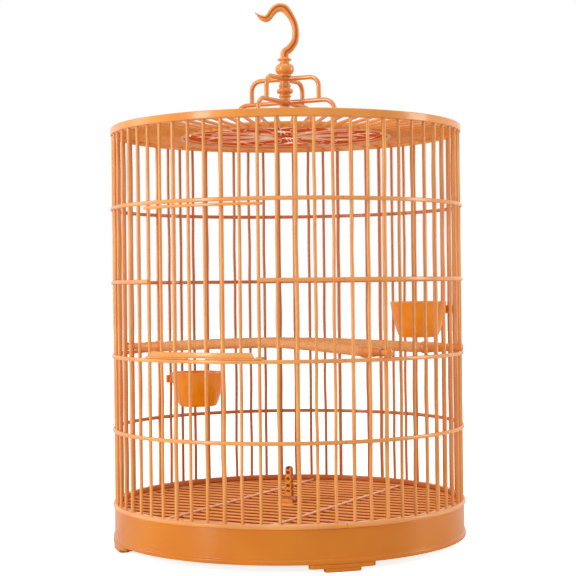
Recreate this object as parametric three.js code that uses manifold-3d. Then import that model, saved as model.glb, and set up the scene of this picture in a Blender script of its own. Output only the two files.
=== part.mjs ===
// Round hanging bird cage, moulded in plastic: a footed pan, four quarter panels of bars, a door,
// a spoked roof, a four-legged hanger with a swivel hook, two cups, a forked perch and a greens holder.
// Millimetres, +Z up. The origin is on the ground at the middle of the feet, and the door faces -Y.
// Every angle called beta is measured about Z in degrees, from the door (-Y) towards +X.

import * as THREE from "three";
import { mergeVertices } from "three/addons/utils/BufferGeometryUtils.js";
import Module from "manifold-3d";

const wasm = await Module();
wasm.setup();

// Driving dimensions of the wall
const BAR_CIRCLE_R = 165;
const PANEL_COUNT = 4;
const BARS_PER_PANEL = 16;
const BAR_D = 2.9;
const POST_D = 3.6;
const POST_PLACES = [2, 6, 9, 13];
const GUIDE_PLACES = [4, 11];
const RING_COUNT = 4;
const RING_PITCH = 69.5;
const RING_H = 3.6;
const RING_INSET = 0.5;
const RING_STAND = 3;
const FIRST_BAY_H = 68.6;
const TOP_BAY_H = 69.2;
const RAIL_H = 4.4;
const RAIL_INSIDE = 2.8;
const RAIL_OUTSIDE = 3.5;
const BAR_ROOT = 3.4;

// Driving dimensions of the base
const FOOT_H = 7;
const FOOT_STEP_H = 3.2;
const FOOT_WIDTH = 59;
const FOOT_STEP_WIDTH = 32;
const FOOT_DEPTH = 10;
const FOOT_TURN_DEG = -1;
const PAN_H = 30;
const PAN_WALL = 2.2;
const PAN_FLOOR = 2;
const PAN_LIFT = 2;
const PAN_OUTSIDE = 2;
const PAN_BEAD = 1.4;
const PAN_BEAD_H = 3.6;
const LEDGE_WIDTH = 3;
const LEDGE_H = 2.3;
const LEDGE_DROP = 4.7;
const SLAT_PITCH = 15.8;
const SLAT_COUNT = 21;
const SLAT_WIDTH = 4;
const SLAT_H = 2;
const GRILLE_HOOP_WIDTH = 3.9;
const GRILLE_HOOP_H = 3.5;
const RIB_PLACE = 52;
const RIB_WIDTH = 3;
const RIB_PROUD = 2;
const PAD_WIDTH = 16;
const PAD_LENGTH = 22;

// Driving dimensions of the door
const DOOR_BAND_H = 2.6;
const DOOR_BAND_DROP = 1.2;
const DOOR_BAR_DROP = 0.5;
const DOOR_RAIL_IN = 1;
const DOOR_RAIL_OUT = 3.6;
const DOOR_SILL_LIFT = 0.2;
const DOOR_SILL_H = 1.4;
const DOOR_PLATE_H = 4.7;
const DOOR_RAIL_OVERRUN = 2.8;
const PLATE_FOOT_BACK = 3.9;
const PLATE_TOP_BACK = 6.3;
const SLEEVE_WALL = 1.2;
const SLEEVE_H = 2.2;
const SLEEVE_MOUTH = 2.2;
const LATCH_JAW = 2;
const NOTCH_WIDTH = 18.4;
const NOTCH_H = 0.9;

// Driving dimensions of the roof
const RIM_H = 7;
const RIM_SKIN = 1.5;
const RIM_LIP_H = 1.6;
const RIM_LIP_WIDTH = 6.9;
const RIM_EASE = 1;
const RIM_STAND = 2.4;
const HOOP_H = 5.7;
const HOOP_WIDTH = 4.6;
const SPOKE_WIDTH = 2.4;
const SPOKE_H = 2.6;
const SPOKE_DROP = 4;
const SPOKE_FALL = 4.3;
const COLLAR_R = 101.2;
const COLLAR_WALL = 3.2;
const COLLAR_H = 5.5;
const COLLAR_LIP_WIDTH = 2.6;
const COLLAR_LIP_H = 1;
const COLLAR_TOP_RISE = 3.3;
const ROSETTE_H = 1.8;
const ROSETTE_PETALS = 8;
const ROSETTE_HUB_R = 13;
const ROSETTE_BAND_WIDTH = 10;
const ROSETTE_EDGE = 4.7;
const ROSETTE_RIB = 4.2;

// Driving dimensions of the hanger
const LEG_ROD_D = 4.4;
const LEG_FOOT_R = 53;
const LEG_SHOULDER_R = 36.5;
const LEG_LOW_H = 30.4;
const LEG_HIGH_H = 53;
const LEG_LOW_BEND = 11;
const LEG_HIGH_BEND = 9.5;
const LEG_PAD_D = 7.2;
const LEG_PAD_H = 1.6;
const LEG_PEG_D = 3;
const LEG_HEAD_D = 4.8;
const LEG_HEAD_H = 2;
const SPINDLE_H = 27.3;
const SPINDLE_WAIST_D = 10;
const SPINDLE_END_D = 14;
const SPINDLE_TOP_D = 12.4;
const PIN_D = 4;
const NUT_D = 10.4;
const NUT_H = 3.6;
const NUT_CAP = 1.2;

// Driving dimensions of the hook
const HOOK_BEAD_D = 18.6;
const HOOK_TURNING_H = 18.5;
const HOOK_RISE = 49;
const HOOK_REACH = 28;
const HOOK_ROD_R = 4.1;
const HOOK_TURN_DEG = 28.1;

// Driving dimensions of the cups
const CUP_MOUTH_R = 27.6;
const CUP_H = 35;
const CUP_WALL = 2;
const CUP_STAND_OFF = 34;
const CUP_LEFT_BETA = -106.875;
const CUP_RIGHT_BETA = 129.375;
const CUP_LEFT_Z = 157;
const CUP_RIGHT_Z = 227.5;
const LUG_DROP = 4;
const LUG_H = 8;
const LUG_STEM_WIDTH = 4;
const LUG_CROSS_WIDTH = 22;
const LUG_GRIP_WIDTH = 19;
const LUG_PLATE = 1.8;

// Driving dimensions of the perch
const PERCH_R = 5;
const PERCH_FORK_R = 4.6;
const PERCH_TENON_R = 3.2;
const PERCH_TENON = 9;
const PERCH_ARCH = 4.2;
const PERCH_END_Z = 185.4;
const PERCH_LEFT_BETA = -81.5625;
const PERCH_RIGHT_BETA = 98.4375;
const PERCH_FRONT_BETA = 59.0625;
const PERCH_FORK_PLACE = 26.5;
const HOLDER_LENGTH = 31;
const HOLDER_R = 5.7;
const HOLDER_TIP_R = 3.5;
const HOLDER_NECK = 2.4;
const HOLDER_NECK_H = 4.4;
const HOLDER_KNOB_R = 4.1;
const HOLDER_KNOB = 2.6;

// Driving dimensions of the greens holder
const GREENS_TOWER_H = 29;
const GREENS_WIDTH = 8.4;
const GREENS_DEPTH = 5;
const GREENS_FOOT_WIDTH = 13;
const GREENS_FOOT_DEPTH = 11;
const GREENS_FOOT_H = 6.5;

// Fits, overruns and mesh settings
const CLEAR = 0.3;
const SEAM_GAP = 0.4;
const RUN_FIT = 0.35;
const OVERRUN = 1;
const WELD = 0.0005;
const RING_STEPS = 64;
const ROUND_STEPS = 16;
const CUP_STEPS = 20;
const GUIDE_SIDES = 8;
const BEND_STEPS = 5;
const TUBE_SIDES = 8;
const PEG_HOLE_STEPS = 4;
const PETAL_STEPS = 4;
const HOOK_STEPS = 27;

// Heights and radii worked out from the driving dimensions
const PANEL_SPAN = 360 / PANEL_COUNT;
const BAR_STEP = PANEL_SPAN / BARS_PER_PANEL;
const RAIL_Z = FOOT_H + PAN_H;
const RAIL_TOP_Z = RAIL_Z + RAIL_H;
const BAR_TOP_Z = ringZ(RING_COUNT - 1) + TOP_BAY_H;
const RING_IN_R = BAR_CIRCLE_R + RING_INSET;
const RING_OUT_R = BAR_CIRCLE_R + RING_STAND;
const PAN_R = BAR_CIRCLE_R + PAN_OUTSIDE;
const PAN_IN_R = PAN_R - PAN_WALL;
const RIM_R = BAR_CIRCLE_R + RIM_STAND;
const RIM_TOP_Z = BAR_TOP_Z + HOOP_H + RIM_LIP_H;
const GRILLE_Z = RAIL_Z - LEDGE_DROP;
const SLAT_TOP_Z = GRILLE_Z + GRILLE_HOOP_H;
const DOORWAY_LOW_Z = ringZ(1) + RING_H / 2;
const DOORWAY_TOP_Z = ringZ(3) - RING_H / 2;
const COLLAR_TOP_Z = BAR_TOP_Z + COLLAR_TOP_RISE;
const ROSETTE_TOP_Z = COLLAR_TOP_Z - COLLAR_LIP_H;
const LEG_LOW_Z = ROSETTE_TOP_Z + LEG_LOW_H;
const LEG_HIGH_Z = ROSETTE_TOP_Z + LEG_HIGH_H;
const SPINDLE_Z = LEG_LOW_Z - SPINDLE_END_D / 5;
const SPINDLE_TOP_Z = SPINDLE_Z + SPINDLE_H;
const HOOK_COLLAR_Z = SPINDLE_TOP_Z + CLEAR;
const HOOK_NECK_Z = HOOK_COLLAR_Z + HOOK_TURNING_H;
const COS_FLAT = Math.cos(Math.PI / RING_STEPS);
const SQUARE_BAR_SHARE = Math.sqrt(Math.PI) / 2;
const FOOT_RING_SHARE = 0.64;
const BAR_LAP_SHARE = 1 / 3;
const BOWL_FLANK_SHARE = 0.93;
const KNOB_FACE_SHARE = 0.7;
const NOTCH_DEPTH_SHARES = { rise: 0.08, across: 1 / 6, down: 1 / 4 };

// Profiles, each a list of [radius share, height share]
const SPINDLE_SHARES = [
  [0.52, 0],
  [0.7, 0.035],
  [0.7, 0.125],
  [0.5, 0.16],
  [0.49, 0.27],
  [0.6, 0.3],
  [0.6, 0.345],
  [0.5, 0.375],
  [0.76, 0.44],
  [0.8, 0.505],
  [0.74, 0.57],
  [0.5, 0.625],
  [0.6, 0.655],
  [0.6, 0.705],
  [0.5, 0.74],
  [0.5, 0.86],
  [0.62, 0.895],
  [0.62, 1],
];
const HOOK_TURNING_SHARES = [
  [0.67, 0],
  [0.69, 0.06],
  [0.6, 0.125],
  [0.89, 0.23],
  [1, 0.375],
  [0.97, 0.54],
  [0.71, 0.665],
  [0.49, 0.715],
  [0.49, 0.815],
  [0.74, 0.855],
  [0.75, 0.935],
  [0.44, 1],
];
const HOOK_LINE_SHARES = [
  [0, -0.04],
  [0.02, 0.1],
  [0.17, 0.17],
  [0.33, 0.29],
  [0.385, 0.4],
  [0.39, 0.54],
  [0.345, 0.67],
  [0.26, 0.78],
  [0.15, 0.88],
  [0.02, 0.965],
  [-0.14, 0.99],
  [-0.3, 0.955],
  [-0.42, 0.885],
  [-0.515, 0.81],
  [-0.62, 0.77],
  [-0.755, 0.785],
  [-0.89, 0.835],
  [-1, 0.895],
];
const HOOK_RADIUS_SHARES = [
  1, 0.98, 0.93, 0.88, 0.85, 0.83, 0.81, 0.83, 0.91, 1, 1.02, 0.96, 0.89, 0.86, 0.83, 0.66, 0.34, 0.08,
];
const CUP_SHARES = [
  [0.62, 0],
  [0.7, 0.05],
  [0.8, 0.28],
  [0.9, 0.58],
  [0.965, 0.93],
  [1, 0.94],
  [1, 1],
];
const HOLDER_SHARES = [
  [1, 0],
  [1, 0.2],
  [0.86, 0.26],
  [0.8, 0.55],
];
const GREENS_EDGE_SHARES = [
  [0.5, 0],
  [0.5, 0.19],
  [0.4, 0.235],
  [0.5, 0.28],
  [0.5, 0.4],
  [0.4, 0.45],
  [0.49, 0.495],
  [0.49, 0.61],
  [0.39, 0.66],
  [0.46, 0.71],
  [0.44, 0.84],
  [0.26, 0.95],
  [0, 1],
];
const GREENS_NOTCH_SHARES = [0.13, 0.35, 0.57];

const MOULDED = finish(0xe2914a, 0.38);
const SHADED = finish(0xd07b3c, 0.42);
const PERCH_SAND = finish(0xd9883f, 0.8);
const AMBER = finish(0xc98a2e, 0.35);

function finish(colour, roughness) {
  return new THREE.MeshStandardMaterial({ color: colour, roughness, metalness: 0 });
}

function ringZ(index) {
  return RAIL_TOP_Z + FIRST_BAY_H + index * RING_PITCH;
}

function radians(degrees) {
  return THREE.MathUtils.degToRad(degrees);
}

function around(beta, radius, z) {
  const angle = radians(beta);
  return new THREE.Vector3(radius * Math.sin(angle), -radius * Math.cos(angle), z);
}

function angleOf(width, radius) {
  return THREE.MathUtils.radToDeg(width / radius);
}

// Shared vertices merged, flat triangles dropped and faces turned outwards
function closed(geometry) {
  const bare = new THREE.BufferGeometry();
  bare.setAttribute("position", geometry.getAttribute("position").clone());
  bare.setIndex(geometry.getIndex());
  const merged = mergeVertices(bare, WELD);
  const place = merged.getAttribute("position");
  const index = Array.from(merged.getIndex().array);
  const kept = [];
  const a = new THREE.Vector3();
  const b = new THREE.Vector3();
  const c = new THREE.Vector3();
  let volume = 0;
  for (let i = 0; i < index.length; i += 3) {
    const [p, q, r] = index.slice(i, i + 3);
    if (p === q || q === r || r === p) continue;
    kept.push(p, q, r);
    a.fromBufferAttribute(place, p);
    b.fromBufferAttribute(place, q);
    c.fromBufferAttribute(place, r);
    volume += a.dot(b.cross(c));
  }
  merged.setIndex(volume < 0 ? kept.reverse() : kept);
  return merged;
}

function solid(geometry) {
  const mesh = closed(geometry);
  return new wasm.Manifold(
    new wasm.Mesh({
      numProp: 3,
      vertProperties: new Float32Array(mesh.getAttribute("position").array),
      triVerts: new Uint32Array(mesh.getIndex().array),
    }),
  );
}

function joined(solids) {
  return solids.reduce((whole, next) => whole.add(next));
}

function geometryOf(body) {
  const mesh = body.getMesh();
  const geometry = new THREE.BufferGeometry();
  const corners = new Float32Array(mesh.vertProperties);
  geometry.setAttribute("position", new THREE.BufferAttribute(corners, mesh.numProp));
  geometry.setIndex(new THREE.BufferAttribute(new Uint32Array(mesh.triVerts), 1));
  geometry.computeVertexNormals();
  return geometry;
}

function box(width, length, height, x, y, z) {
  return new THREE.BoxGeometry(width, length, height).translate(x, y, z + height / 2);
}

// A turned shape about Z from [radius, z] points, closed by repeating the first point where it is a ring
function turned(points, steps) {
  const line = points.map(([radius, z]) => new THREE.Vector2(radius, z));
  return new THREE.LatheGeometry(line, steps).rotateX(Math.PI / 2);
}

function turnedRing(points, steps) {
  return turned([...points, points[0]], steps);
}

function rod(radius, low, high, sides) {
  const height = high - low;
  return new THREE.CylinderGeometry(radius, radius, height, sides)
    .rotateX(Math.PI / 2)
    .rotateZ(Math.PI / sides)
    .translate(0, 0, low + height / 2);
}

// A wall bar, square with the round bar's section area
function barAt(beta, diameter, low, high) {
  const side = diameter * SQUARE_BAR_SHARE;
  return box(side, side, high - low, 0, -BAR_CIRCLE_R, low).rotateZ(radians(beta));
}

// A wall bar that something turns on or snaps to, kept round
function guideAt(beta, diameter, low, high) {
  return rod(diameter / 2, low, high, GUIDE_SIDES).translate(0, -BAR_CIRCLE_R, 0).rotateZ(radians(beta));
}

// Rings of equal count joined by faces, with both ends closed
function skin(rings) {
  const count = rings[0].length;
  const places = rings.flat().flatMap((point) => point.toArray());
  const index = [];
  for (let row = 0; row + 1 < rings.length; row += 1) {
    for (let i = 0; i < count; i += 1) {
      const next = (i + 1) % count;
      const low = row * count;
      const high = low + count;
      index.push(low + i, low + next, high + next, low + i, high + next, high + i);
    }
  }
  const last = (rings.length - 1) * count;
  for (let i = 1; i + 1 < count; i += 1) {
    index.push(0, i + 1, i, last, last + i, last + i + 1);
  }
  const geometry = new THREE.BufferGeometry();
  geometry.setAttribute("position", new THREE.Float32BufferAttribute(places, 3));
  geometry.setIndex(index);
  return geometry;
}

// A strip of oblong section that follows the wall, given by its stations
function strip(stations) {
  return skin(
    stations.map(({ beta, inside, outside, low, high }) => [
      around(beta, inside, low),
      around(beta, outside, low),
      around(beta, outside, high),
      around(beta, inside, high),
    ]),
  );
}

// Evenly stepped strip whose inner corners lie between the bars
function evenStrip(start, end, inside, outside, low, high) {
  const betas = [start];
  for (let k = Math.ceil(start / BAR_STEP); k * BAR_STEP < end; k += 1) {
    if (k * BAR_STEP > start) betas.push(k * BAR_STEP);
  }
  betas.push(end);
  return strip(betas.map((beta) => ({ beta, inside, outside, low, high })));
}

// A round tube through points that lie in one plane, whose normal is given
function tube(points, radii, sides, normal) {
  const rings = points.map((point, i) => {
    const before = points[Math.max(i - 1, 0)];
    const after = points[Math.min(i + 1, points.length - 1)];
    const along = new THREE.Vector3().subVectors(after, before).normalize();
    const across = new THREE.Vector3().crossVectors(normal, along).normalize();
    return Array.from({ length: sides }, (_, k) => {
      const turn = (2 * Math.PI * (k + 0.5)) / sides;
      return point
        .clone()
        .addScaledVector(across, radii[i] * Math.cos(turn))
        .addScaledVector(normal, radii[i] * Math.sin(turn));
    });
  });
  return skin(rings);
}

function addPiece(group, name, body, material) {
  const mesh = new THREE.Mesh(geometryOf(body), material);
  mesh.name = name;
  group.add(mesh);
  return mesh;
}

// Base: the pan, its feet and the floor grille
function pan() {
  const bead = PAN_R + PAN_BEAD;
  const ledgeR = PAN_IN_R - LEDGE_WIDTH;
  const ledgeZ = RAIL_Z - LEDGE_DROP;
  const floorZ = FOOT_H + PAN_LIFT;
  const footR = bead - FOOT_DEPTH * FOOT_RING_SHARE;
  return solid(
    turned(
      [
        [0, floorZ],
        [footR - PAN_LIFT, floorZ],
        [footR, FOOT_H],
        [bead, FOOT_H],
        [bead, FOOT_H + PAN_BEAD_H],
        [PAN_R, FOOT_H + PAN_BEAD_H + PAN_BEAD / 2],
        [PAN_R, RAIL_Z],
        [PAN_IN_R, RAIL_Z],
        [PAN_IN_R, ledgeZ],
        [ledgeR, ledgeZ],
        [ledgeR, ledgeZ - LEDGE_H / 2],
        [PAN_IN_R, ledgeZ - LEDGE_H - LEDGE_WIDTH / 2],
        [PAN_IN_R, floorZ + PAN_FLOOR],
        [0, floorZ + PAN_FLOOR],
      ],
      RING_STEPS,
    ),
  );
}

function foot(beta) {
  const outside = PAN_R + PAN_BEAD;
  const inside = outside - FOOT_DEPTH;
  const wide = angleOf(FOOT_WIDTH, outside) / 2;
  const narrow = angleOf(FOOT_STEP_WIDTH, outside) / 2;
  const upper = evenStrip(beta - wide, beta + wide, inside, outside, FOOT_STEP_H, FOOT_H);
  const lower = evenStrip(beta - narrow, beta + narrow, inside, outside, 0, FOOT_STEP_H + CLEAR);
  return joined([solid(upper), solid(lower)]);
}

function floorGrille() {
  const outside = PAN_IN_R - CLEAR;
  const inside = outside - GRILLE_HOOP_WIDTH;
  const reach = (BAR_CIRCLE_R - RAIL_INSIDE - CLEAR) * COS_FLAT;
  const bars = [];
  for (let k = 0; k < SLAT_COUNT; k += 1) {
    const y = (k - (SLAT_COUNT - 1) / 2) * SLAT_PITCH;
    bars.push(solid(box(2 * outside, SLAT_WIDTH, SLAT_H, 0, y, SLAT_TOP_Z - SLAT_H)));
  }
  for (const side of [-1, 1]) {
    const ribH = GRILLE_HOOP_H + RIB_PROUD;
    bars.push(solid(box(RIB_WIDTH, 2 * outside, ribH, side * RIB_PLACE, 0, GRILLE_Z)));
  }
  bars.push(solid(box(PAD_WIDTH, PAD_LENGTH, SLAT_H, 0, 0, SLAT_TOP_Z - SLAT_H)));
  const trim = solid(rod(reach, GRILLE_Z - OVERRUN, SLAT_TOP_Z + RIB_PROUD + OVERRUN, RING_STEPS));
  const hoop = turnedRing(
    [
      [inside, GRILLE_Z],
      [outside, GRILLE_Z],
      [outside, SLAT_TOP_Z],
      [inside, SLAT_TOP_Z],
    ],
    RING_STEPS,
  );
  return joined(bars).intersect(trim).add(solid(hoop));
}

// Wall: quarter panels of bars, rings and a bottom rail
function isPost(place) {
  return POST_PLACES.includes(place);
}

function barDiameter(place) {
  return isPost(place) ? POST_D : BAR_D;
}

function barBeta(centre, place) {
  return centre - PANEL_SPAN / 2 + (place + 0.5) * BAR_STEP;
}

function inDoorway(place) {
  return place > GUIDE_PLACES[0] && place < GUIDE_PLACES[1];
}

function wallPanel(centre, hasDoor) {
  const seam = angleOf(SEAM_GAP, BAR_CIRCLE_R) / 2;
  const start = centre - PANEL_SPAN / 2 + seam;
  const end = centre + PANEL_SPAN / 2 - seam;
  const railIn = BAR_CIRCLE_R - RAIL_INSIDE;
  const railOut = BAR_CIRCLE_R + RAIL_OUTSIDE;
  const pieces = [solid(evenStrip(start, end, railIn, railOut, RAIL_Z, RAIL_TOP_Z))];
  for (let level = 0; level < RING_COUNT; level += 1) {
    const low = ringZ(level) - RING_H / 2;
    const high = low + RING_H;
    const lap = angleOf(BAR_D * BAR_LAP_SHARE, BAR_CIRCLE_R);
    const spans =
      hasDoor && level === 2
        ? [
            [start, barBeta(centre, GUIDE_PLACES[0]) + lap],
            [barBeta(centre, GUIDE_PLACES[1]) - lap, end],
          ]
        : [[start, end]];
    for (const [from, to] of spans) {
      pieces.push(solid(evenStrip(from, to, RING_IN_R, RING_OUT_R, low, high)));
    }
  }
  for (let place = 0; place < BARS_PER_PANEL; place += 1) {
    const beta = barBeta(centre, place);
    const diameter = barDiameter(place);
    const root = RAIL_TOP_Z - BAR_ROOT;
    if (hasDoor && inDoorway(place)) {
      pieces.push(solid(barAt(beta, diameter, root, DOORWAY_LOW_Z - CLEAR)));
      pieces.push(solid(barAt(beta, diameter, DOORWAY_TOP_Z + CLEAR, BAR_TOP_Z)));
    } else {
      const guide = hasDoor && GUIDE_PLACES.includes(place);
      pieces.push(solid((guide ? guideAt : barAt)(beta, diameter, root, BAR_TOP_Z)));
    }
  }
  return joined(pieces);
}

// Door: six bars on two curved rails, with sleeves round the left guide and open jaws on the right guide
function door() {
  const inside = BAR_CIRCLE_R + DOOR_RAIL_IN;
  const outside = BAR_CIRCLE_R + DOOR_RAIL_OUT;
  const guide = barBeta(0, GUIDE_PLACES[1]);
  const overrun = angleOf(DOOR_RAIL_OVERRUN, BAR_CIRCLE_R);
  const bandTop = DOORWAY_TOP_Z - DOOR_BAND_DROP;
  const sillZ = DOORWAY_LOW_Z + DOOR_SILL_LIFT;
  const plateZ = sillZ + DOOR_SILL_H;
  const plateTop = plateZ + DOOR_PLATE_H;
  const barTop = DOORWAY_TOP_Z - DOOR_BAR_DROP;
  const pieces = [
    solid(evenStrip(-guide - overrun, guide + overrun, inside, outside, bandTop - DOOR_BAND_H, bandTop)),
    solid(evenStrip(-guide - overrun, guide + overrun, inside, outside, sillZ, plateZ)),
  ];
  const footEnd = guide - angleOf(PLATE_FOOT_BACK, BAR_CIRCLE_R);
  const topEnd = guide - angleOf(PLATE_TOP_BACK, BAR_CIRCLE_R);
  const plateBetas = [-footEnd, -topEnd];
  const doorBars = GUIDE_PLACES[1] - GUIDE_PLACES[0] - 1;
  const lastBar = Math.min(doorBars / 2, Math.floor(topEnd / BAR_STEP));
  for (let k = -lastBar; k <= lastBar; k += 1) plateBetas.push(k * BAR_STEP);
  plateBetas.push(topEnd, footEnd);
  const stations = plateBetas.map((beta) => {
    const atFoot = Math.abs(beta) === footEnd;
    const high = atFoot ? plateZ + CLEAR : plateTop;
    return { beta, inside, outside, low: plateZ - CLEAR, high };
  });
  pieces.push(solid(strip(stations)));
  for (let place = GUIDE_PLACES[0] + 1; place < GUIDE_PLACES[1]; place += 1) {
    pieces.push(solid(barAt(barBeta(0, place), barDiameter(place), plateZ - CLEAR, barTop)));
  }
  const bore = BAR_D / 2 + RUN_FIT;
  const sleeve = bore + SLEEVE_WALL;
  const guideX = BAR_CIRCLE_R * Math.sin(radians(guide));
  const guideY = -BAR_CIRCLE_R * Math.cos(radians(guide));
  const clipZs = [sillZ, bandTop - (DOOR_BAND_H + SLEEVE_H) / 2];
  for (const z of clipZs) {
    pieces.push(solid(rod(sleeve, z, z + SLEEVE_H, ROUND_STEPS).translate(-guideX, guideY, 0)));
    const jawLength = sleeve + LATCH_JAW;
    const jawY = guideY + (LATCH_JAW - sleeve) / 2;
    pieces.push(solid(box(2 * sleeve, jawLength, SLEEVE_H, guideX, jawY, z)));
  }
  const low = sillZ - OVERRUN;
  const high = DOORWAY_TOP_Z;
  const cutters = [
    solid(rod(bore, low, high, ROUND_STEPS).translate(-guideX, guideY, 0)),
    solid(rod(bore, low, high, ROUND_STEPS).translate(guideX, guideY, 0)),
    solid(box(SLEEVE_MOUTH, 2 * sleeve, high - low, -guideX, guideY + sleeve, low)),
    solid(box(2 * bore, 2 * sleeve, high - low, guideX, guideY + sleeve, low)),
  ];
  const notchEnd = angleOf(NOTCH_WIDTH / 2, BAR_CIRCLE_R);
  const notch = evenStrip(-notchEnd, notchEnd, inside - OVERRUN, outside + OVERRUN, low, sillZ + NOTCH_H);
  cutters.push(solid(notch));
  return joined(pieces).subtract(joined(cutters));
}

// Roof: the rim, the spoked grille and the petalled rosette
function roofRim() {
  const skinR = RIM_R - RIM_SKIN;
  const lipR = RIM_R - RIM_LIP_WIDTH;
  const lipZ = RIM_TOP_Z - RIM_LIP_H;
  return solid(
    turnedRing(
      [
        [RIM_R, RIM_TOP_Z - RIM_H],
        [RIM_R, RIM_TOP_Z - RIM_EASE],
        [RIM_R - RIM_EASE, RIM_TOP_Z],
        [lipR, RIM_TOP_Z],
        [lipR, lipZ],
        [skinR, lipZ],
        [skinR, RIM_TOP_Z - RIM_H],
      ],
      RING_STEPS,
    ),
  );
}

function roofGrille() {
  const hoopOut = RIM_R - RIM_SKIN - CLEAR;
  const hoopIn = hoopOut - HOOP_WIDTH;
  const collarIn = COLLAR_R - COLLAR_WALL;
  const lipIn = collarIn - COLLAR_LIP_WIDTH;
  const low = COLLAR_TOP_Z - COLLAR_H;
  const hoop = turnedRing(
    [
      [hoopIn, BAR_TOP_Z],
      [hoopOut, BAR_TOP_Z],
      [hoopOut, BAR_TOP_Z + HOOP_H],
      [hoopIn, BAR_TOP_Z + HOOP_H],
    ],
    RING_STEPS,
  );
  const collar = turnedRing(
    [
      [collarIn, low],
      [COLLAR_R, low],
      [COLLAR_R, COLLAR_TOP_Z],
      [lipIn, COLLAR_TOP_Z],
      [lipIn, ROSETTE_TOP_Z],
      [collarIn, ROSETTE_TOP_Z],
    ],
    RING_STEPS,
  );
  const pieces = [solid(hoop), solid(collar)];
  const inner = COLLAR_R - COLLAR_WALL / 2;
  const outer = hoopIn + HOOP_WIDTH / 2;
  const run = outer - inner;
  const length = Math.hypot(run, SPOKE_FALL);
  const tilt = Math.atan2(SPOKE_FALL, run);
  const middleZ = BAR_TOP_Z + SPOKE_DROP - SPOKE_FALL / 2;
  for (let k = 0; k < PANEL_COUNT * BARS_PER_PANEL; k += 1) {
    const spoke = new THREE.BoxGeometry(SPOKE_WIDTH, length, SPOKE_H)
      .rotateX(-tilt)
      .translate(0, -(inner + outer) / 2, middleZ)
      .rotateZ(radians((k + 0.5) * BAR_STEP));
    pieces.push(solid(spoke));
  }
  return joined(pieces);
}

// A pointed petal opening about one direction, one of a count that leave ribs between them
function petal(beta, start, end, count) {
  const steps = PETAL_STEPS;
  const half = (Math.PI * (start + end)) / 2 / count - ROSETTE_RIB / 2;
  const points = [];
  for (let k = 0; k < 2 * steps; k += 1) {
    const share = k <= steps ? k / steps : 2 - k / steps;
    const side = k <= steps ? 1 : -1;
    const radius = start + (end - start) * share;
    const lean = side * angleOf(half * Math.sin(Math.PI * share), radius);
    const point = around(beta + lean, radius, 0);
    points.push(new THREE.Vector2(point.x, point.y));
  }
  return new THREE.Path(points);
}

function roofRosette() {
  const outside = COLLAR_R - COLLAR_WALL - CLEAR;
  const outline = [];
  for (let k = 0; k < RING_STEPS; k += 1) {
    const point = around((360 * k) / RING_STEPS, outside, 0);
    outline.push(new THREE.Vector2(point.x, point.y));
  }
  const plate = new THREE.Shape(outline);
  const bandIn = LEG_FOOT_R - ROSETTE_BAND_WIDTH / 2;
  const bandOut = LEG_FOOT_R + ROSETTE_BAND_WIDTH / 2;
  for (let k = 0; k < ROSETTE_PETALS; k += 1) {
    const beta = (k + 1 / 2) * (360 / ROSETTE_PETALS);
    plate.holes.push(petal(beta, ROSETTE_HUB_R, bandIn, ROSETTE_PETALS));
    plate.holes.push(petal(beta, bandOut, outside - ROSETTE_EDGE, 2 * ROSETTE_PETALS));
  }
  for (let k = 0; k < PANEL_COUNT; k += 1) {
    const place = around(k * PANEL_SPAN, LEG_FOOT_R, 0);
    const hole = new THREE.Path();
    hole.absarc(place.x, place.y, LEG_PEG_D / 2 + RUN_FIT, 0, 2 * Math.PI, true);
    plate.holes.push(new THREE.Path(hole.getPoints(PEG_HOLE_STEPS).slice(0, -1)));
  }
  const body = new THREE.ExtrudeGeometry(plate, { depth: ROSETTE_H, bevelEnabled: false, curveSegments: 4 });
  return solid(body.translate(0, 0, ROSETTE_TOP_Z - ROSETTE_H));
}

// Hanger: four two-tiered legs round a turned spindle
function bentLine(startR, endR, armZ, endZ, bend) {
  const points = [new THREE.Vector3(startR, 0, armZ)];
  for (let k = 0; k <= BEND_STEPS; k += 1) {
    const angle = (Math.PI / 2) * (1 - k / BEND_STEPS);
    const reach = endR - bend + bend * Math.cos(angle);
    points.push(new THREE.Vector3(reach, 0, armZ - bend + bend * Math.sin(angle)));
  }
  points.push(new THREE.Vector3(endR, 0, endZ));
  return points;
}

function hangerLeg(beta) {
  const sideways = new THREE.Vector3(0, 1, 0);
  const radius = LEG_ROD_D / 2;
  const top = ROSETTE_TOP_Z;
  const high = bentLine(SPINDLE_TOP_D / 2 + CLEAR, LEG_SHOULDER_R, LEG_HIGH_Z, LEG_LOW_Z, LEG_HIGH_BEND);
  const low = bentLine(SPINDLE_END_D / 2 + CLEAR, LEG_FOOT_R, LEG_LOW_Z, top + LEG_PAD_H / 2, LEG_LOW_BEND);
  const tiers = [high, low].map((line) => solid(tube(line, line.map(() => radius), TUBE_SIDES, sideways)));
  const peg = turned(
    [
      [0, top - ROSETTE_H - CLEAR - LEG_HEAD_H],
      [LEG_PEG_D / 2, top - ROSETTE_H - CLEAR - LEG_HEAD_H],
      [LEG_HEAD_D / 2, top - ROSETTE_H - CLEAR],
      [LEG_PEG_D / 2, top - ROSETTE_H - CLEAR],
      [LEG_PEG_D / 2, top],
      [LEG_PAD_D / 2, top],
      [LEG_PAD_D / 2, top + LEG_PAD_H],
      [0, top + LEG_PAD_H],
    ],
    TUBE_SIDES,
  ).translate(LEG_FOOT_R, 0, 0);
  return joined([...tiers, solid(peg)]).rotate([0, 0, beta - 90]);
}

function hangerSpindle() {
  const bore = PIN_D / 2 + RUN_FIT;
  const outline = SPINDLE_SHARES.map(([radius, height]) => [
    radius * SPINDLE_WAIST_D,
    SPINDLE_Z + height * SPINDLE_H,
  ]);
  return solid(turnedRing([[bore, SPINDLE_Z], ...outline, [bore, SPINDLE_TOP_Z]], ROUND_STEPS));
}

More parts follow.
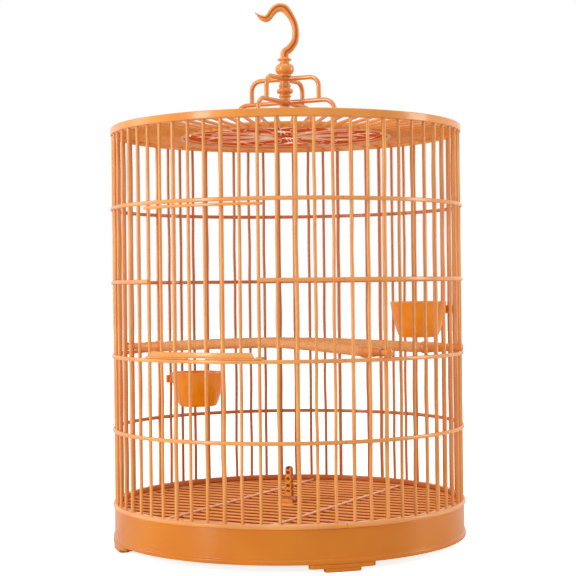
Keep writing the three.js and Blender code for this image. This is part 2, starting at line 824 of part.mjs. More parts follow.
// Hook: the tapered rod, its turned beads and the pin through the spindle, with a cap nut below
function hook() {
  const pinZ = SPINDLE_Z - NUT_H + NUT_CAP;
  const beads = HOOK_TURNING_SHARES.map(([radius, height]) => [
    (radius * HOOK_BEAD_D) / 2,
    HOOK_COLLAR_Z + height * HOOK_TURNING_H,
  ]);
  const turning = turned(
    [[0, pinZ], [PIN_D / 2, pinZ], [PIN_D / 2, HOOK_COLLAR_Z], ...beads, [0, HOOK_NECK_Z]],
    ROUND_STEPS,
  );
  const line = new THREE.CatmullRomCurve3(
    HOOK_LINE_SHARES.map(
      ([across, up]) => new THREE.Vector3(across * HOOK_REACH, 0, HOOK_NECK_Z + up * HOOK_RISE),
    ),
  );
  const spans = HOOK_LINE_SHARES.length - 1;
  const points = line.getPoints(HOOK_STEPS);
  const radii = points.map((_, i) => {
    const place = (i * spans) / HOOK_STEPS;
    const at = Math.floor(place);
    const next = Math.min(at + 1, spans);
    return THREE.MathUtils.lerp(HOOK_RADIUS_SHARES[at], HOOK_RADIUS_SHARES[next], place - at) * HOOK_ROD_R;
  });
  const bent = tube(points, radii, TUBE_SIDES, new THREE.Vector3(0, 1, 0));
  return solid(turning).add(solid(bent));
}

function hookNut() {
  const low = SPINDLE_Z - CLEAR - NUT_H;
  const high = SPINDLE_Z - CLEAR;
  const bore = PIN_D / 2 + CLEAR;
  const boreZ = low + NUT_CAP;
  return solid(
    turned(
      [
        [0, low],
        [NUT_D / 3, low],
        [NUT_D / 2, low + NUT_H / 3],
        [NUT_D / 2, high],
        [bore, high],
        [bore, boreZ],
        [0, boreZ],
      ],
      ROUND_STEPS,
    ),
  );
}

// Cups: a round bowl on a lug that grips the wall from both sides of two bars
function cup(beta, rimZ) {
  const low = rimZ - CUP_H;
  const outer = CUP_SHARES.map(([radius, height]) => [radius * CUP_MOUTH_R, low + height * CUP_H]);
  const inner = CUP_SHARES.slice(0, -2)
    .reverse()
    .map(([radius, height]) => {
      return [radius * CUP_MOUTH_R - CUP_WALL, low + Math.max(height * CUP_H, CUP_WALL)];
    });
  const lipR = inner[0][0];
  const bowl = turned(
    [[0, low], ...outer, [lipR, rimZ], ...inner.slice(0, -1), [0, low + CUP_WALL]],
    CUP_STEPS,
  ).translate(0, -(BAR_CIRCLE_R - CUP_STAND_OFF), 0);
  const bowlOut = BAR_CIRCLE_R - CUP_STAND_OFF + CUP_MOUTH_R * BOWL_FLANK_SHARE;
  const gripOut = (BAR_CIRCLE_R - BAR_D / 2 - CLEAR) * COS_FLAT;
  const crossIn = BAR_CIRCLE_R + BAR_D / 2 + CLEAR;
  const lugZ = rimZ - LUG_DROP - LUG_H;
  const stem = crossIn + LUG_PLATE - bowlOut;
  return joined([
    solid(bowl),
    solid(box(LUG_STEM_WIDTH, stem, LUG_H, 0, -(bowlOut + stem / 2), lugZ)),
    solid(box(LUG_CROSS_WIDTH, LUG_PLATE, LUG_H, 0, -(crossIn + LUG_PLATE / 2), lugZ)),
    solid(box(LUG_GRIP_WIDTH, LUG_PLATE, LUG_H, 0, -(gripOut - LUG_PLATE), lugZ)),
  ]).rotate([0, 0, beta]);
}

// Perch: a forked branch with a tenon at each end, in three holders that clip to wall posts
function perchEnd(beta) {
  return around(beta, BAR_CIRCLE_R, PERCH_END_Z);
}

function perchLine(from, to, rise) {
  const steps = 8;
  return Array.from({ length: steps + 1 }, (_, k) => {
    const share = k / steps;
    const point = new THREE.Vector3().lerpVectors(from, to, share);
    point.z += rise(share);
    return point;
  });
}

function flatNormal(from, to) {
  const along = new THREE.Vector3().subVectors(to, from).setZ(0).normalize();
  return new THREE.Vector3(-along.y, along.x, 0);
}

function forkPoint() {
  return around(PERCH_LEFT_BETA, PERCH_FORK_PLACE, PERCH_END_Z);
}

function setBack(from, to, distance) {
  const inward = new THREE.Vector3().subVectors(from, to).normalize();
  return to.clone().addScaledVector(inward, distance);
}

function perchBranch() {
  const left = perchEnd(PERCH_LEFT_BETA);
  const right = perchEnd(PERCH_RIGHT_BETA);
  const front = perchEnd(PERCH_FRONT_BETA);
  const fork = forkPoint();
  const back = HOLDER_LENGTH + POST_D / 2 + CLEAR;
  const start = setBack(right, left, back);
  const end = setBack(left, right, back);
  const tip = setBack(fork, front, back);
  const arch = (share) => PERCH_ARCH * Math.sin(Math.PI * share);
  const sag = (share) => PERCH_ARCH * Math.cos((Math.PI * share) / 2);
  const long = perchLine(start, end, arch);
  const short = perchLine(fork, tip, sag);
  const pieces = [
    solid(tube(long, long.map(() => PERCH_R), TUBE_SIDES, flatNormal(start, end))),
    solid(tube(short, short.map(() => PERCH_FORK_R), TUBE_SIDES, flatNormal(fork, tip))),
  ];
  for (const [from, to] of [
    [right, start],
    [left, end],
    [fork, tip],
  ]) {
    const root = setBack(from, to, PERCH_TENON / 2);
    const nose = setBack(from, to, -PERCH_TENON);
    pieces.push(solid(tube([root, nose], [PERCH_TENON_R, PERCH_TENON_R], TUBE_SIDES, flatNormal(from, to))));
  }
  return joined(pieces);
}

// Built along -Y from the post at the origin, then turned and moved to its post
function perchHolder(from, beta, side) {
  const post = perchEnd(beta);
  const inEnd = POST_D / 2 + HOLDER_LENGTH;
  const outEnd = POST_D / 2 + CLEAR * 2;
  const length = inEnd - outEnd;
  const bore = PERCH_TENON_R + CLEAR;
  const boreDepth = PERCH_TENON + CLEAR;
  const outline = HOLDER_SHARES.map(([radius, at]) => [radius * HOLDER_R, at * length]);
  const socket = [
    [0, boreDepth],
    [bore, boreDepth],
    [bore, 0],
  ];
  const barrel = turned([[bore, 0], ...outline, [HOLDER_TIP_R, length], [0, length], ...socket], TUBE_SIDES)
    .rotateX(Math.PI / 2)
    .translate(0, inEnd, 0);
  const knobIn = RING_OUT_R - BAR_CIRCLE_R + CLEAR * 2;
  const knobRound = HOLDER_KNOB_R * KNOB_FACE_SHARE;
  const knob = turned(
    [
      [0, 0],
      [HOLDER_KNOB_R, 0],
      [HOLDER_KNOB_R, HOLDER_KNOB / 2],
      [knobRound, HOLDER_KNOB],
      [0, HOLDER_KNOB],
    ],
    TUBE_SIDES,
  )
    .rotateX(Math.PI / 2)
    .translate(0, -knobIn, 0);
  const neckIn = POST_D / 2 + RUN_FIT;
  const neckLength = knobIn + outEnd + HOLDER_KNOB / 2 + OVERRUN;
  const neck = box(
    HOLDER_NECK,
    neckLength,
    HOLDER_NECK_H,
    side * (neckIn + HOLDER_NECK / 2),
    outEnd + OVERRUN - neckLength / 2,
    -HOLDER_NECK_H / 2,
  );
  const inward = new THREE.Vector3().subVectors(from, post).setZ(0).normalize();
  const turn = THREE.MathUtils.radToDeg(Math.atan2(-inward.x, inward.y));
  return joined([solid(barrel), solid(knob), solid(neck)])
    .rotate([0, 0, turn])
    .translate([post.x, post.y, post.z]);
}

// Greens holder: a notched tower on a wedge foot, standing on the pad of the floor grille
function greensHolder() {
  const right = GREENS_EDGE_SHARES.map(
    ([across, up]) => new THREE.Vector2(across * GREENS_WIDTH, up * GREENS_TOWER_H),
  );
  const left = right
    .slice(0, -1)
    .reverse()
    .map((point) => new THREE.Vector2(-point.x, point.y));
  const outline = new THREE.Shape([...right, ...left]);
  for (const share of GREENS_NOTCH_SHARES) {
    const notchZ = (share + NOTCH_DEPTH_SHARES.rise) * GREENS_TOWER_H;
    const notchHalf = GREENS_WIDTH * NOTCH_DEPTH_SHARES.across;
    outline.holes.push(
      new THREE.Path([
        new THREE.Vector2(-notchHalf, notchZ),
        new THREE.Vector2(0, notchZ - GREENS_WIDTH * NOTCH_DEPTH_SHARES.down),
        new THREE.Vector2(notchHalf, notchZ),
      ]),
    );
  }
  const footTop = SLAT_TOP_Z + GREENS_FOOT_H;
  const tower = new THREE.ExtrudeGeometry(outline, { depth: GREENS_DEPTH, bevelEnabled: false })
    .rotateX(Math.PI / 2)
    .translate(0, GREENS_DEPTH / 2, footTop - CLEAR);
  const wedge = new THREE.Shape([
    new THREE.Vector2(-GREENS_FOOT_DEPTH / 2, 0),
    new THREE.Vector2(GREENS_FOOT_DEPTH / 2, 0),
    new THREE.Vector2(GREENS_DEPTH / 2, GREENS_FOOT_H),
    new THREE.Vector2(-GREENS_DEPTH / 2, GREENS_FOOT_H),
    new THREE.Vector2(-GREENS_FOOT_DEPTH / 2, GREENS_FOOT_H / 2),
  ]);
  const base = new THREE.ExtrudeGeometry(wedge, { depth: GREENS_FOOT_WIDTH, bevelEnabled: false })
    .translate(0, 0, -GREENS_FOOT_WIDTH / 2)
    .rotateX(Math.PI / 2)
    .rotateZ(Math.PI / 2)
    .translate(0, 0, SLAT_TOP_Z);
  return joined([solid(tower), solid(base)]);
}

const QUARTERS = ["front", "right", "back", "left"];
const cage = new THREE.Group();

const base = new THREE.Group();
addPiece(base, "base_pan", pan(), MOULDED);
addPiece(base, "floor_grille", floorGrille(), SHADED);
QUARTERS.forEach((side, k) => {
  const beta = (k + 1 / 2) * PANEL_SPAN + FOOT_TURN_DEG;
  addPiece(base, `foot_${side}_${QUARTERS[(k + 1) % PANEL_COUNT]}`, foot(beta), MOULDED);
});
cage.add(base);

const wall = new THREE.Group();
QUARTERS.forEach((side, k) => {
  addPiece(wall, `wall_panel_${side}`, wallPanel(k * PANEL_SPAN, k === 0), MOULDED);
});
addPiece(wall, "door", door(), MOULDED);
cage.add(wall);

const roof = new THREE.Group();
addPiece(roof, "roof_rim", roofRim(), MOULDED);
addPiece(roof, "roof_grille", roofGrille(), MOULDED);
addPiece(roof, "roof_rosette", roofRosette(), SHADED);
cage.add(roof);

const hanger = new THREE.Group();
QUARTERS.forEach((side, k) => {
  addPiece(hanger, `hanger_leg_${side}`, hangerLeg(k * PANEL_SPAN), MOULDED);
});
addPiece(hanger, "hanger_spindle", hangerSpindle(), MOULDED);
cage.add(hanger);

const swivel = new THREE.Group();
addPiece(swivel, "hook", hook(), MOULDED);
addPiece(swivel, "hook_nut", hookNut(), MOULDED);
swivel.rotation.z = radians(HOOK_TURN_DEG);
cage.add(swivel);

const fittings = new THREE.Group();
addPiece(fittings, "cup_left", cup(CUP_LEFT_BETA, CUP_LEFT_Z), MOULDED);
addPiece(fittings, "cup_right", cup(CUP_RIGHT_BETA, CUP_RIGHT_Z), MOULDED);
addPiece(fittings, "perch_branch", perchBranch(), PERCH_SAND);
const [perchLeft, perchRight] = [perchEnd(PERCH_LEFT_BETA), perchEnd(PERCH_RIGHT_BETA)];
addPiece(fittings, "perch_holder_left", perchHolder(perchRight, PERCH_LEFT_BETA, 1), SHADED);
addPiece(fittings, "perch_holder_right", perchHolder(perchLeft, PERCH_RIGHT_BETA, 1), SHADED);
addPiece(fittings, "perch_holder_front", perchHolder(forkPoint(), PERCH_FRONT_BETA, 1), SHADED);
addPiece(fittings, "greens_holder", greensHolder(), AMBER);
cage.add(fittings);

export default cage;
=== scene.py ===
"""Studio model of a round hanging bird cage in moulded plastic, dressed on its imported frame.

Everything is in metres. The cage stands on z = 0 with its axis at x = y = 0, and its door faces -Y.
An angle called beta is measured in degrees about the axis, from the door towards +X.
"""

from __future__ import annotations

import logging
import math
import random
from collections.abc import Sequence
from dataclasses import dataclass, field
from enum import Enum

import bmesh
import bpy
from mathutils import Matrix, Vector

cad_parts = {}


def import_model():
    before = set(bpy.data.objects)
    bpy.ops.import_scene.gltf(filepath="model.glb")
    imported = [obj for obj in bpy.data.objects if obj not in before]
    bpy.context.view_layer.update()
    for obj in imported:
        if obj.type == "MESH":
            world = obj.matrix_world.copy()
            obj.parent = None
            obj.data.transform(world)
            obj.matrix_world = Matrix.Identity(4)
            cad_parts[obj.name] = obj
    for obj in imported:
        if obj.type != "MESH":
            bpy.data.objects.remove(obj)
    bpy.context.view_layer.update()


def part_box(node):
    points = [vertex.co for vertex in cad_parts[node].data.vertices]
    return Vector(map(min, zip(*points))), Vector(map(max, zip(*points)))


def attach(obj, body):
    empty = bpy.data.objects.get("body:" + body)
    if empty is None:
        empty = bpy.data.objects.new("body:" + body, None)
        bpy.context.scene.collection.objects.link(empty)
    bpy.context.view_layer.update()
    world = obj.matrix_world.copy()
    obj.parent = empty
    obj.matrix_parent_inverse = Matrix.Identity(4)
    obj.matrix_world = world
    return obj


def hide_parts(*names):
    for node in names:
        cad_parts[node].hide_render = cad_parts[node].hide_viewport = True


LOG = logging.getLogger("bird_cage")

MM = 0.001
FULL_TURN = 360.0
MERGE_DISTANCE = 1e-7
UP = Vector((0.0, 0.0, 1.0))
SIDES = ("front", "right", "back", "left")
PLASTIC_IOR = 1.49
BAR_SEED = 64
BRANCH_SEED = 5
CUP_LEFT_BETA = -106.875
CUP_RIGHT_BETA = 129.375

# A direction that rises more than this can't be held level by UP.
STEEP = 0.9
# The largest share of an edge that a rounded corner takes up.
CORNER_SHARE = 0.45
# The largest angle of a swept hoop's segment, and the segments of turned pieces and rods.
ARC_STEP = 1.4
HOOP_STEPS = 256
COLLAR_STEPS = 192
TURNED_STEPS = 64
SMALL_STEPS = 48
BAR_SIDES = 12
# Edges that turn more than this stay crisp, on plain, on mixed and on gently rounded pieces.
CRISP_ANGLE = 38.0
MIXED_CRISP_ANGLE = 50.0
ROUNDED_CRISP_ANGLE = 60.0

Point2 = tuple[float, float]
Colour = tuple[float, float, float]


class Body(Enum):
    """The frame's bodies, which the pieces ride on."""

    CAGE = "cage"
    DOOR = "door"
    HOOK = "hook"
    CUP_LEFT = "cup_left"
    CUP_RIGHT = "cup_right"


class Slot(Enum):
    """The record's material slots."""

    MOULDED = "moulded_plastic"
    FLOOR = "floor_plastic"
    CUP = "cup_plastic"
    SANDED = "sanded_plastic"
    AMBER = "amber_plastic"


def polar(beta: float, radius: float, z: float) -> Vector:
    """Gives the point at an angle from the door, a radius and a height."""
    angle = math.radians(beta)
    return Vector((radius * math.sin(angle), -radius * math.cos(angle), z))


def arc_degrees(length: float, radius: float) -> float:
    """Gives the angle in degrees that a length covers at a radius."""
    return math.degrees(length / radius)


def linear(red: float, green: float, blue: float) -> Colour:
    """Turns a display colour of 0 to 255 a channel into linear light.

    Args:
        red: The red channel.
        green: The green channel.
        blue: The blue channel.

    Returns:
        The colour in linear light, each channel 0 to 1.
    """

    def channel(value: float) -> float:
        """Turns one channel into linear light."""
        share = value / 255.0
        return share / 12.92 if share <= 0.04045 else ((share + 0.055) / 1.055) ** 2.4

    return (channel(red), channel(green), channel(blue))


def rounded_box(width: float, height: float, radius: float, steps: int = 3) -> list[Point2]:
    """Outlines a rectangle with round corners about its own middle.

    Args:
        width: Size across.
        height: Size upwards.
        radius: Corner radius.
        steps: Segments in each corner.

    Returns:
        The outline's points, anticlockwise.
    """
    radius = min(radius, width / 2, height / 2)
    outline = []
    for quarter in range(4):
        middle = math.radians(45 + 90 * quarter)
        cx = math.copysign(width / 2 - radius, math.cos(middle))
        cy = math.copysign(height / 2 - radius, math.sin(middle))
        for step in range(steps + 1):
            angle = math.radians(90 * quarter + 90 * step / steps)
            outline.append((cx + radius * math.cos(angle), cy + radius * math.sin(angle)))
    return outline


def eased(points: Sequence[Point2], radius: float, steps: int = 4, closed: bool = False) -> list[Point2]:
    """Rounds the corners of a polyline.

    Args:
        points: The corners.
        radius: How far from a corner its curve starts.
        steps: Segments in each curve.
        closed: Whether the line ends where it starts.

    Returns:
        The rounded line. An open line keeps its two end points.
    """
    corners = [Vector(point) for point in points]
    count = len(corners)
    line: list[Point2] = []
    for i, corner in enumerate(corners):
        if not closed and i in (0, count - 1):
            line.append((corner.x, corner.y))
            continue
        before = corners[i - 1]
        after = corners[(i + 1) % count]
        reach_in = min(radius, (corner - before).length * CORNER_SHARE)
        reach_out = min(radius, (after - corner).length * CORNER_SHARE)
        start = corner + (before - corner).normalized() * reach_in
        end = corner + (after - corner).normalized() * reach_out
        for step in range(steps + 1):
            t = step / steps
            point = start * (1 - t) ** 2 + corner * 2 * t * (1 - t) + end * t**2
            line.append((point.x, point.y))
    return line


def smooth_line(points: Sequence[Sequence[float]], per_span: int) -> list[Vector]:
    """Runs a Catmull-Rom curve through points of any dimension up to four.

    Args:
        points: The points that the curve passes.
        per_span: Segments between two points.

    Returns:
        The curve's points.
    """
    knots = [Vector(point) for point in points]
    knots = [2 * knots[0] - knots[1], *knots, 2 * knots[-1] - knots[-2]]
    line = []
    for i in range(1, len(knots) - 2):
        a, b, c, d = knots[i - 1 : i + 3]
        for step in range(per_span):
            t = step / per_span
            slope = c - a
            bend = 2 * a - 5 * b + 4 * c - d
            rest = 3 * b - a - 3 * c + d
            line.append((2 * b + slope * t + bend * t**2 + rest * t**3) / 2)
    line.append(knots[-2])
    return line


def add_object(name: str, data: bpy.types.ID) -> bpy.types.Object:
    """Makes an object and links it to the scene.

    Args:
        name: The object's name.
        data: The mesh, lamp or camera that it shows.

    Returns:
        The object, standing at the origin.
    """
    thing = bpy.data.objects.new(name, data)
    bpy.context.scene.collection.objects.link(thing)
    return thing


class Draft:
    """Gathers a piece's vertices and faces before it becomes an object."""

    def __init__(self) -> None:
        """Starts an empty draft."""
        self.vertices: list[Vector] = []
        self.faces: list[tuple[int, ...]] = []

    def loft(self, rings: Sequence[Sequence[Vector]], closed: bool = False) -> None:
        """Joins rings of equal count.

        Args:
            rings: The rings in order, each a closed loop of points.
            closed: Whether the last ring joins the first; otherwise both ends are capped.
        """
        count = len(rings[0])
        base = len(self.vertices)
        rows = len(rings)
        for ring in rings:
            self.vertices.extend(ring)
        for row in range(rows if closed else rows - 1):
            low = base + row * count
            high = base + (row + 1) % rows * count
            for i in range(count):
                j = (i + 1) % count
                self.faces.append((low + i, low + j, high + j, high + i))
        if not closed:
            self.faces.append(tuple(reversed(range(base, base + count))))
            self.faces.append(tuple(range(base + (rows - 1) * count, base + rows * count)))

    def turn(self, profile: Sequence[Point2], steps: int, place: Matrix | None = None) -> None:
        """Turns a closed profile of (radius, height) points about Z.

        Args:
            profile: The outline; it may touch the axis.
            steps: Segments round the axis.
            place: Where the turned shape goes.
        """
        rings = []
        for step in range(steps):
            angle = FULL_TURN * step / steps
            ring = [polar(angle, radius, height) for radius, height in profile]
            rings.append([place @ point for point in ring] if place else ring)
        self.loft(rings, closed=True)

    def arc(self, outline: Sequence[Point2], start: float, end: float, radius: float, z: float) -> None:
        """Sweeps an outline round the cage's axis.

        Args:
            outline: Points (outwards, upwards) about the swept line.
            start: First angle.
            end: Last angle; a full turn later makes a hoop.
            radius: The swept line's radius.
            z: The swept line's height.
        """
        count = max(1, math.ceil((end - start) / ARC_STEP))
        hoop = math.isclose(end - start, FULL_TURN)
        betas = [start + (end - start) * i / count for i in range(count if hoop else count + 1)]
        self.loft([[polar(b, radius + u, z + v) for u, v in outline] for b in betas], closed=hoop)

    def rod(
        self,
        path: Sequence[Vector],
        radii: Sequence[float],
        sides: int = BAR_SIDES,
        normal: Vector | None = None,
        groove: float = 0.0,
    ) -> None:
        """Sweeps a round section along a path.

        Args:
            path: The centre line.
            radii: A radius for each point.
            sides: Sides of the section.
            normal: A direction that the path never runs along, to hold the section steady.
            groove: How deep the grooves along the section's two faces are, as a share of its radius.
        """
        bank, fall = 0.72, 0.7
        turns = [2 * math.pi * k / sides for k in range(sides)]
        shape = [1 - groove * max(0.0, (abs(math.sin(t)) - bank) / (1 - bank)) ** fall for t in turns]
        rings = []
        for i, point in enumerate(path):
            before = path[max(i - 1, 0)]
            after = path[min(i + 1, len(path) - 1)]
            along = (after - before).normalized()
            hold = normal or (UP if abs(along.z) < STEEP else Vector((1.0, 0.0, 0.0)))
            across = hold.cross(along).normalized()
            level = along.cross(across)
            arms = [(across * math.cos(t) + level * math.sin(t)) * s for t, s in zip(turns, shape)]
            rings.append([point + arm * radii[i] for arm in arms])
        self.loft(rings)

    def beam(self, start: Vector, end: Vector, outline: Sequence[Point2]) -> None:
        """Sweeps an outline along a straight line that isn't upright.

        Args:
            start: One end.
            end: The other end.
            outline: Points (sideways, upwards) about the line.
        """
        along = (end - start).normalized()
        side = along.cross(UP).normalized()
        level = side.cross(along)
        self.loft([[place + side * u + level * v for u, v in outline] for place in (start, end)])

    def block(self, low: Vector, high: Vector, round_over: float, place: Matrix | None = None) -> None:
        """Adds a box with rounded edges.

        Args:
            low: Lowest corner.
            high: Highest corner.
            round_over: Edge radius.
            place: Where the box goes.
        """
        size = high - low
        middle = (low + high) / 2
        outline = rounded_box(size.x, size.y, round_over)
        level_low, level_high = low.z + round_over, high.z - round_over
        tiers = [(low.z, round_over), (level_low, 0.0), (level_high, 0.0), (high.z, round_over)]
        rings = []
        for z, inset in tiers:
            scale_x = 1 - 2 * inset / size.x
            scale_y = 1 - 2 * inset / size.y
            ring = [Vector((middle.x + u * scale_x, middle.y + v * scale_y, z)) for u, v in outline]
            rings.append([place @ point for point in ring] if place else ring)
        self.loft(rings)

    def rotate(self, turn: Matrix) -> None:
        """Rotates every vertex so far."""
        self.vertices = [turn @ point for point in self.vertices]

    def build(self, name: str, sharp_degrees: float) -> bpy.types.Object:
        """Makes the object.

        Args:
            name: The piece's name.
            sharp_degrees: Edges that turn more than this stay crisp.

        Returns:
            The object, linked to the scene with its faces out.
        """
        mesh = bpy.data.meshes.new(name)
        mesh.from_pydata([tuple(v) for v in self.vertices], [], self.faces)
        work = bmesh.new()
        work.from_mesh(mesh)
        bmesh.ops.remove_doubles(work, verts=work.verts, dist=MERGE_DISTANCE)
        bmesh.ops.recalc_face_normals(work, faces=work.faces)
        work.to_mesh(mesh)
        work.free()
        mesh.polygons.foreach_set("use_smooth", [True] * len(mesh.polygons))
        mesh.set_sharp_from_angle(angle=math.radians(sharp_degrees))
        return add_object(name, mesh)


class Signal:
    """A shader socket that takes part in Python expressions."""

    def __init__(self, graph: Graph, socket: bpy.types.NodeSocket) -> None:
        """Wraps a socket of a graph."""
        self.graph = graph
        self.socket = socket

    def _math(self, operation: str, first: Signal | float, second: Signal | float) -> Signal:
        """Adds a Math node on two values."""
        return self.graph.add("ShaderNodeMath", {"operation": operation}, {0: first, 1: second})

    def __add__(self, other: Signal | float) -> Signal:
        """Adds a value."""
        return self._math("ADD", self, other)

    def __radd__(self, other: float) -> Signal:
        """Adds to a number."""
        return self._math("ADD", other, self)

    def __sub__(self, other: Signal | float) -> Signal:
        """Takes a value away."""
        return self._math("SUBTRACT", self, other)

    def __rsub__(self, other: float) -> Signal:
        """Takes this from a number."""
        return self._math("SUBTRACT", other, self)

    def __mul__(self, other: Signal | float) -> Signal:
        """Multiplies by a value."""
        return self._math("MULTIPLY", self, other)

    def __rmul__(self, other: float) -> Signal:
        """Multiplies a number."""
        return self._math("MULTIPLY", other, self)


class Graph:
    """A material's or world's node tree, built from expressions."""

    def __init__(self, tree: bpy.types.NodeTree) -> None:
        """Empties the tree and keeps it."""
        self.tree = tree
        tree.nodes.clear()

    def add(
        self,
        kind: str,
        settings: dict[str, object] | None = None,
        inputs: dict[str | int, object] | None = None,
        output: str | int = 0,
    ) -> Signal:
        """Adds a node.

        Args:
            kind: The node's type.
            settings: Its settings, set first; "stops" fills a colour ramp.
            inputs: A value or a signal for each socket named.
            output: Which of its sockets to give back.

        Returns:
            The output socket as a signal.
        """
        node = self.tree.nodes.new(kind)
        for name, value in (settings or {}).items():
            if name == "stops":
                self._fill_ramp(node, value)
            else:
                setattr(node, name, value)
        for key, value in (inputs or {}).items():
            if isinstance(value, Signal):
                self.tree.links.new(value.socket, node.inputs[key])
            else:
                node.inputs[key].default_value = value
        sockets = node.outputs
        return Signal(self, sockets[output]) if len(sockets) else Signal(self, node.inputs[0])

    @staticmethod
    def _fill_ramp(node: bpy.types.Node, stops: Sequence[tuple[float, Colour]]) -> None:
        """Sets a colour ramp's stops.

        Args:
            node: The ramp's node.
            stops: Each stop's place and colour.
        """
        ramp = node.color_ramp
        while len(ramp.elements) < len(stops):
            ramp.elements.new(1.0)
        for element, (place, colour) in zip(ramp.elements, stops):
            element.position = place
            element.color = (*colour, 1.0)

    def blend(self, share: Signal | float, low: Signal | Colour, high: Signal | Colour) -> Signal:
        """Mixes two colours."""
        tint = {0: share, 6: self._rgba(low), 7: self._rgba(high)}
        return self.add("ShaderNodeMix", {"data_type": "RGBA"}, tint, output=2)

    @staticmethod
    def _rgba(colour: Signal | Colour) -> Signal | tuple[float, ...]:
        """Gives a plain colour its alpha."""
        return colour if isinstance(colour, Signal) else (*colour, 1.0)

    def noise(self, where: Signal, size: float, detail: float = 2.0) -> Signal:
        """Gives soft noise whose lumps are about a size in metres.

        Args:
            where: The place on the surface.
            size: How large a lump is.
            detail: How many finer layers are added.

        Returns:
            The noise, about 0.5 in the middle.
        """
        return self.add(
            "ShaderNodeTexNoise",
            {},
            {"Vector": where, "Scale": 1 / size, "Detail": detail, "Roughness": 0.5},
            output="Fac",
        )

    def masked(self, value: Signal, low: float, high: float) -> Signal:
        """Stretches the range from low to high over 0 to 1."""
        spread = {"Value": value, "From Min": low, "From Max": high}
        return self.add("ShaderNodeMapRange", {"clamp": True}, spread)

    def dot(self, first: Signal, second: Signal | tuple[float, float, float]) -> Signal:
        """Gives how far two directions agree, -1 to 1."""
        both = {0: first, 1: second}
        return self.add("ShaderNodeVectorMath", {"operation": "DOT_PRODUCT"}, both, output="Value")


def start_material(name: str) -> tuple[bpy.types.Material, Graph]:
    """Makes a material whose node tree is still empty.

    Args:
        name: The material's name.

    Returns:
        The material and its graph.
    """
    material = bpy.data.materials.new(name)
    material.use_nodes = True
    return material, Graph(material.node_tree)


@dataclass(frozen=True)
class PaintedLight:
    """Painted light and shade: a second colour on the faces that look along an axis of the piece, or both
    ways along it, standing in for how the light falls on them.
    """

    axis: tuple[float, float, float]
    colour: Colour
    low: float = 0.3
    high: float = 0.85
    both_ways: bool = True

    def mask(self, graph: Graph, facing: Signal) -> Signal:
        """Gives how far a face looks along the axis.

        Args:
            graph: The material's graph.
            facing: The face's direction.

        Returns:
            The mask, 0 to 1.
        """
        along = graph.dot(facing, self.axis)
        return graph.masked(along * along if self.both_ways else along, self.low, self.high)


@dataclass(frozen=True)
class MouldedPlastic:
    """Injection-moulded plastic: an even colour with soft flow clouds, faint ripples and a few scuffs, and
    optionally painted light and shade: a second colour on faces that look along an axis, and painted shade
    on faces that look towards the cage's axis.
    """

    name: str
    colour: Colour
    deep: Colour
    slot: Slot
    roughness: float = 0.22
    cloud_size: float = 45 * MM
    cloud_band: Point2 = (0.3, 0.7)
    cloud_share: float = 0.75
    cloud_roughness: float = 0.04
    scuff_size: float = 9 * MM
    scuff_band: Point2 = (0.6, 0.72)
    scuff_roughness: float = 0.05
    ripple_size: float = 15 * MM
    ripple_height: float = 0.04 * MM
    ripple_strength: float = 0.5
    coat: float = 0.2
    coat_roughness: float = 0.08
    gloss: float = 0.35
    # Painted light and shade on the faces that look along an axis.
    painted_light: PaintedLight | None = None
    # Painted shade on the faces that look towards the cage's axis, with how strongly and over which facings
    # it is laid.
    inner: Colour | None = None
    inner_shade_share: float = 0.7
    inner_shade_band: Point2 = (0.1, 0.9)

    def build(self) -> bpy.types.Material:
        """Makes the material.

        Returns:
            The node-built material.
        """
        material, graph = start_material(self.name)
        where = graph.add("ShaderNodeTexCoord", output="Object")
        facing = graph.add("ShaderNodeTexCoord", output="Normal")
        clouds = graph.masked(graph.noise(where, self.cloud_size), *self.cloud_band)
        scuffs = graph.masked(graph.noise(where, self.scuff_size, 4.0), *self.scuff_band)
        colour = graph.blend(clouds * self.cloud_share, self.colour, self.deep)
        # Painted light and shade: faces that look along the axis take the second colour.
        if self.painted_light:
            colour = graph.blend(self.painted_light.mask(graph, facing), colour, self.painted_light.colour)
        # Painted shade on the faces that look towards the cage's axis.
        if self.inner:
            inward_shade = self._inward_shade_mask(graph, where, facing)
            colour = graph.blend(inward_shade * self.inner_shade_share, colour, self.inner)
        rough = self.roughness + clouds * self.cloud_roughness + scuffs * self.scuff_roughness
        ripples = graph.noise(where, self.ripple_size, 1.0)
        bump = {"Strength": self.ripple_strength, "Distance": self.ripple_height, "Height": ripples}
        shader = graph.add(
            "ShaderNodeBsdfPrincipled",
            {},
            {
                "Base Color": colour,
                "Roughness": rough,
                "Normal": graph.add("ShaderNodeBump", {}, bump),
                "Coat Weight": self.coat,
                "Coat Roughness": self.coat_roughness,
                "Specular IOR Level": self.gloss,
                "IOR": PLASTIC_IOR,
            },
        )
        graph.add("ShaderNodeOutputMaterial", {}, {"Surface": shader})
        return material

    def _inward_shade_mask(self, graph: Graph, where: Signal, facing: Signal) -> Signal:
        """Masks the faces that look towards the cage's axis, which take painted shade.

        Args:
            graph: The material's graph.
            where: The place on the surface.
            facing: The face's direction.

        Returns:
            The mask, 0 to 1.
        """
        flat = graph.add("ShaderNodeVectorMath", {"operation": "MULTIPLY"}, {0: where, 1: (1.0, 1.0, 0.0)})
        outwards = graph.add("ShaderNodeVectorMath", {"operation": "NORMALIZE"}, {0: flat})
        return graph.masked(graph.dot(outwards, facing) * -1.0, *self.inner_shade_band)


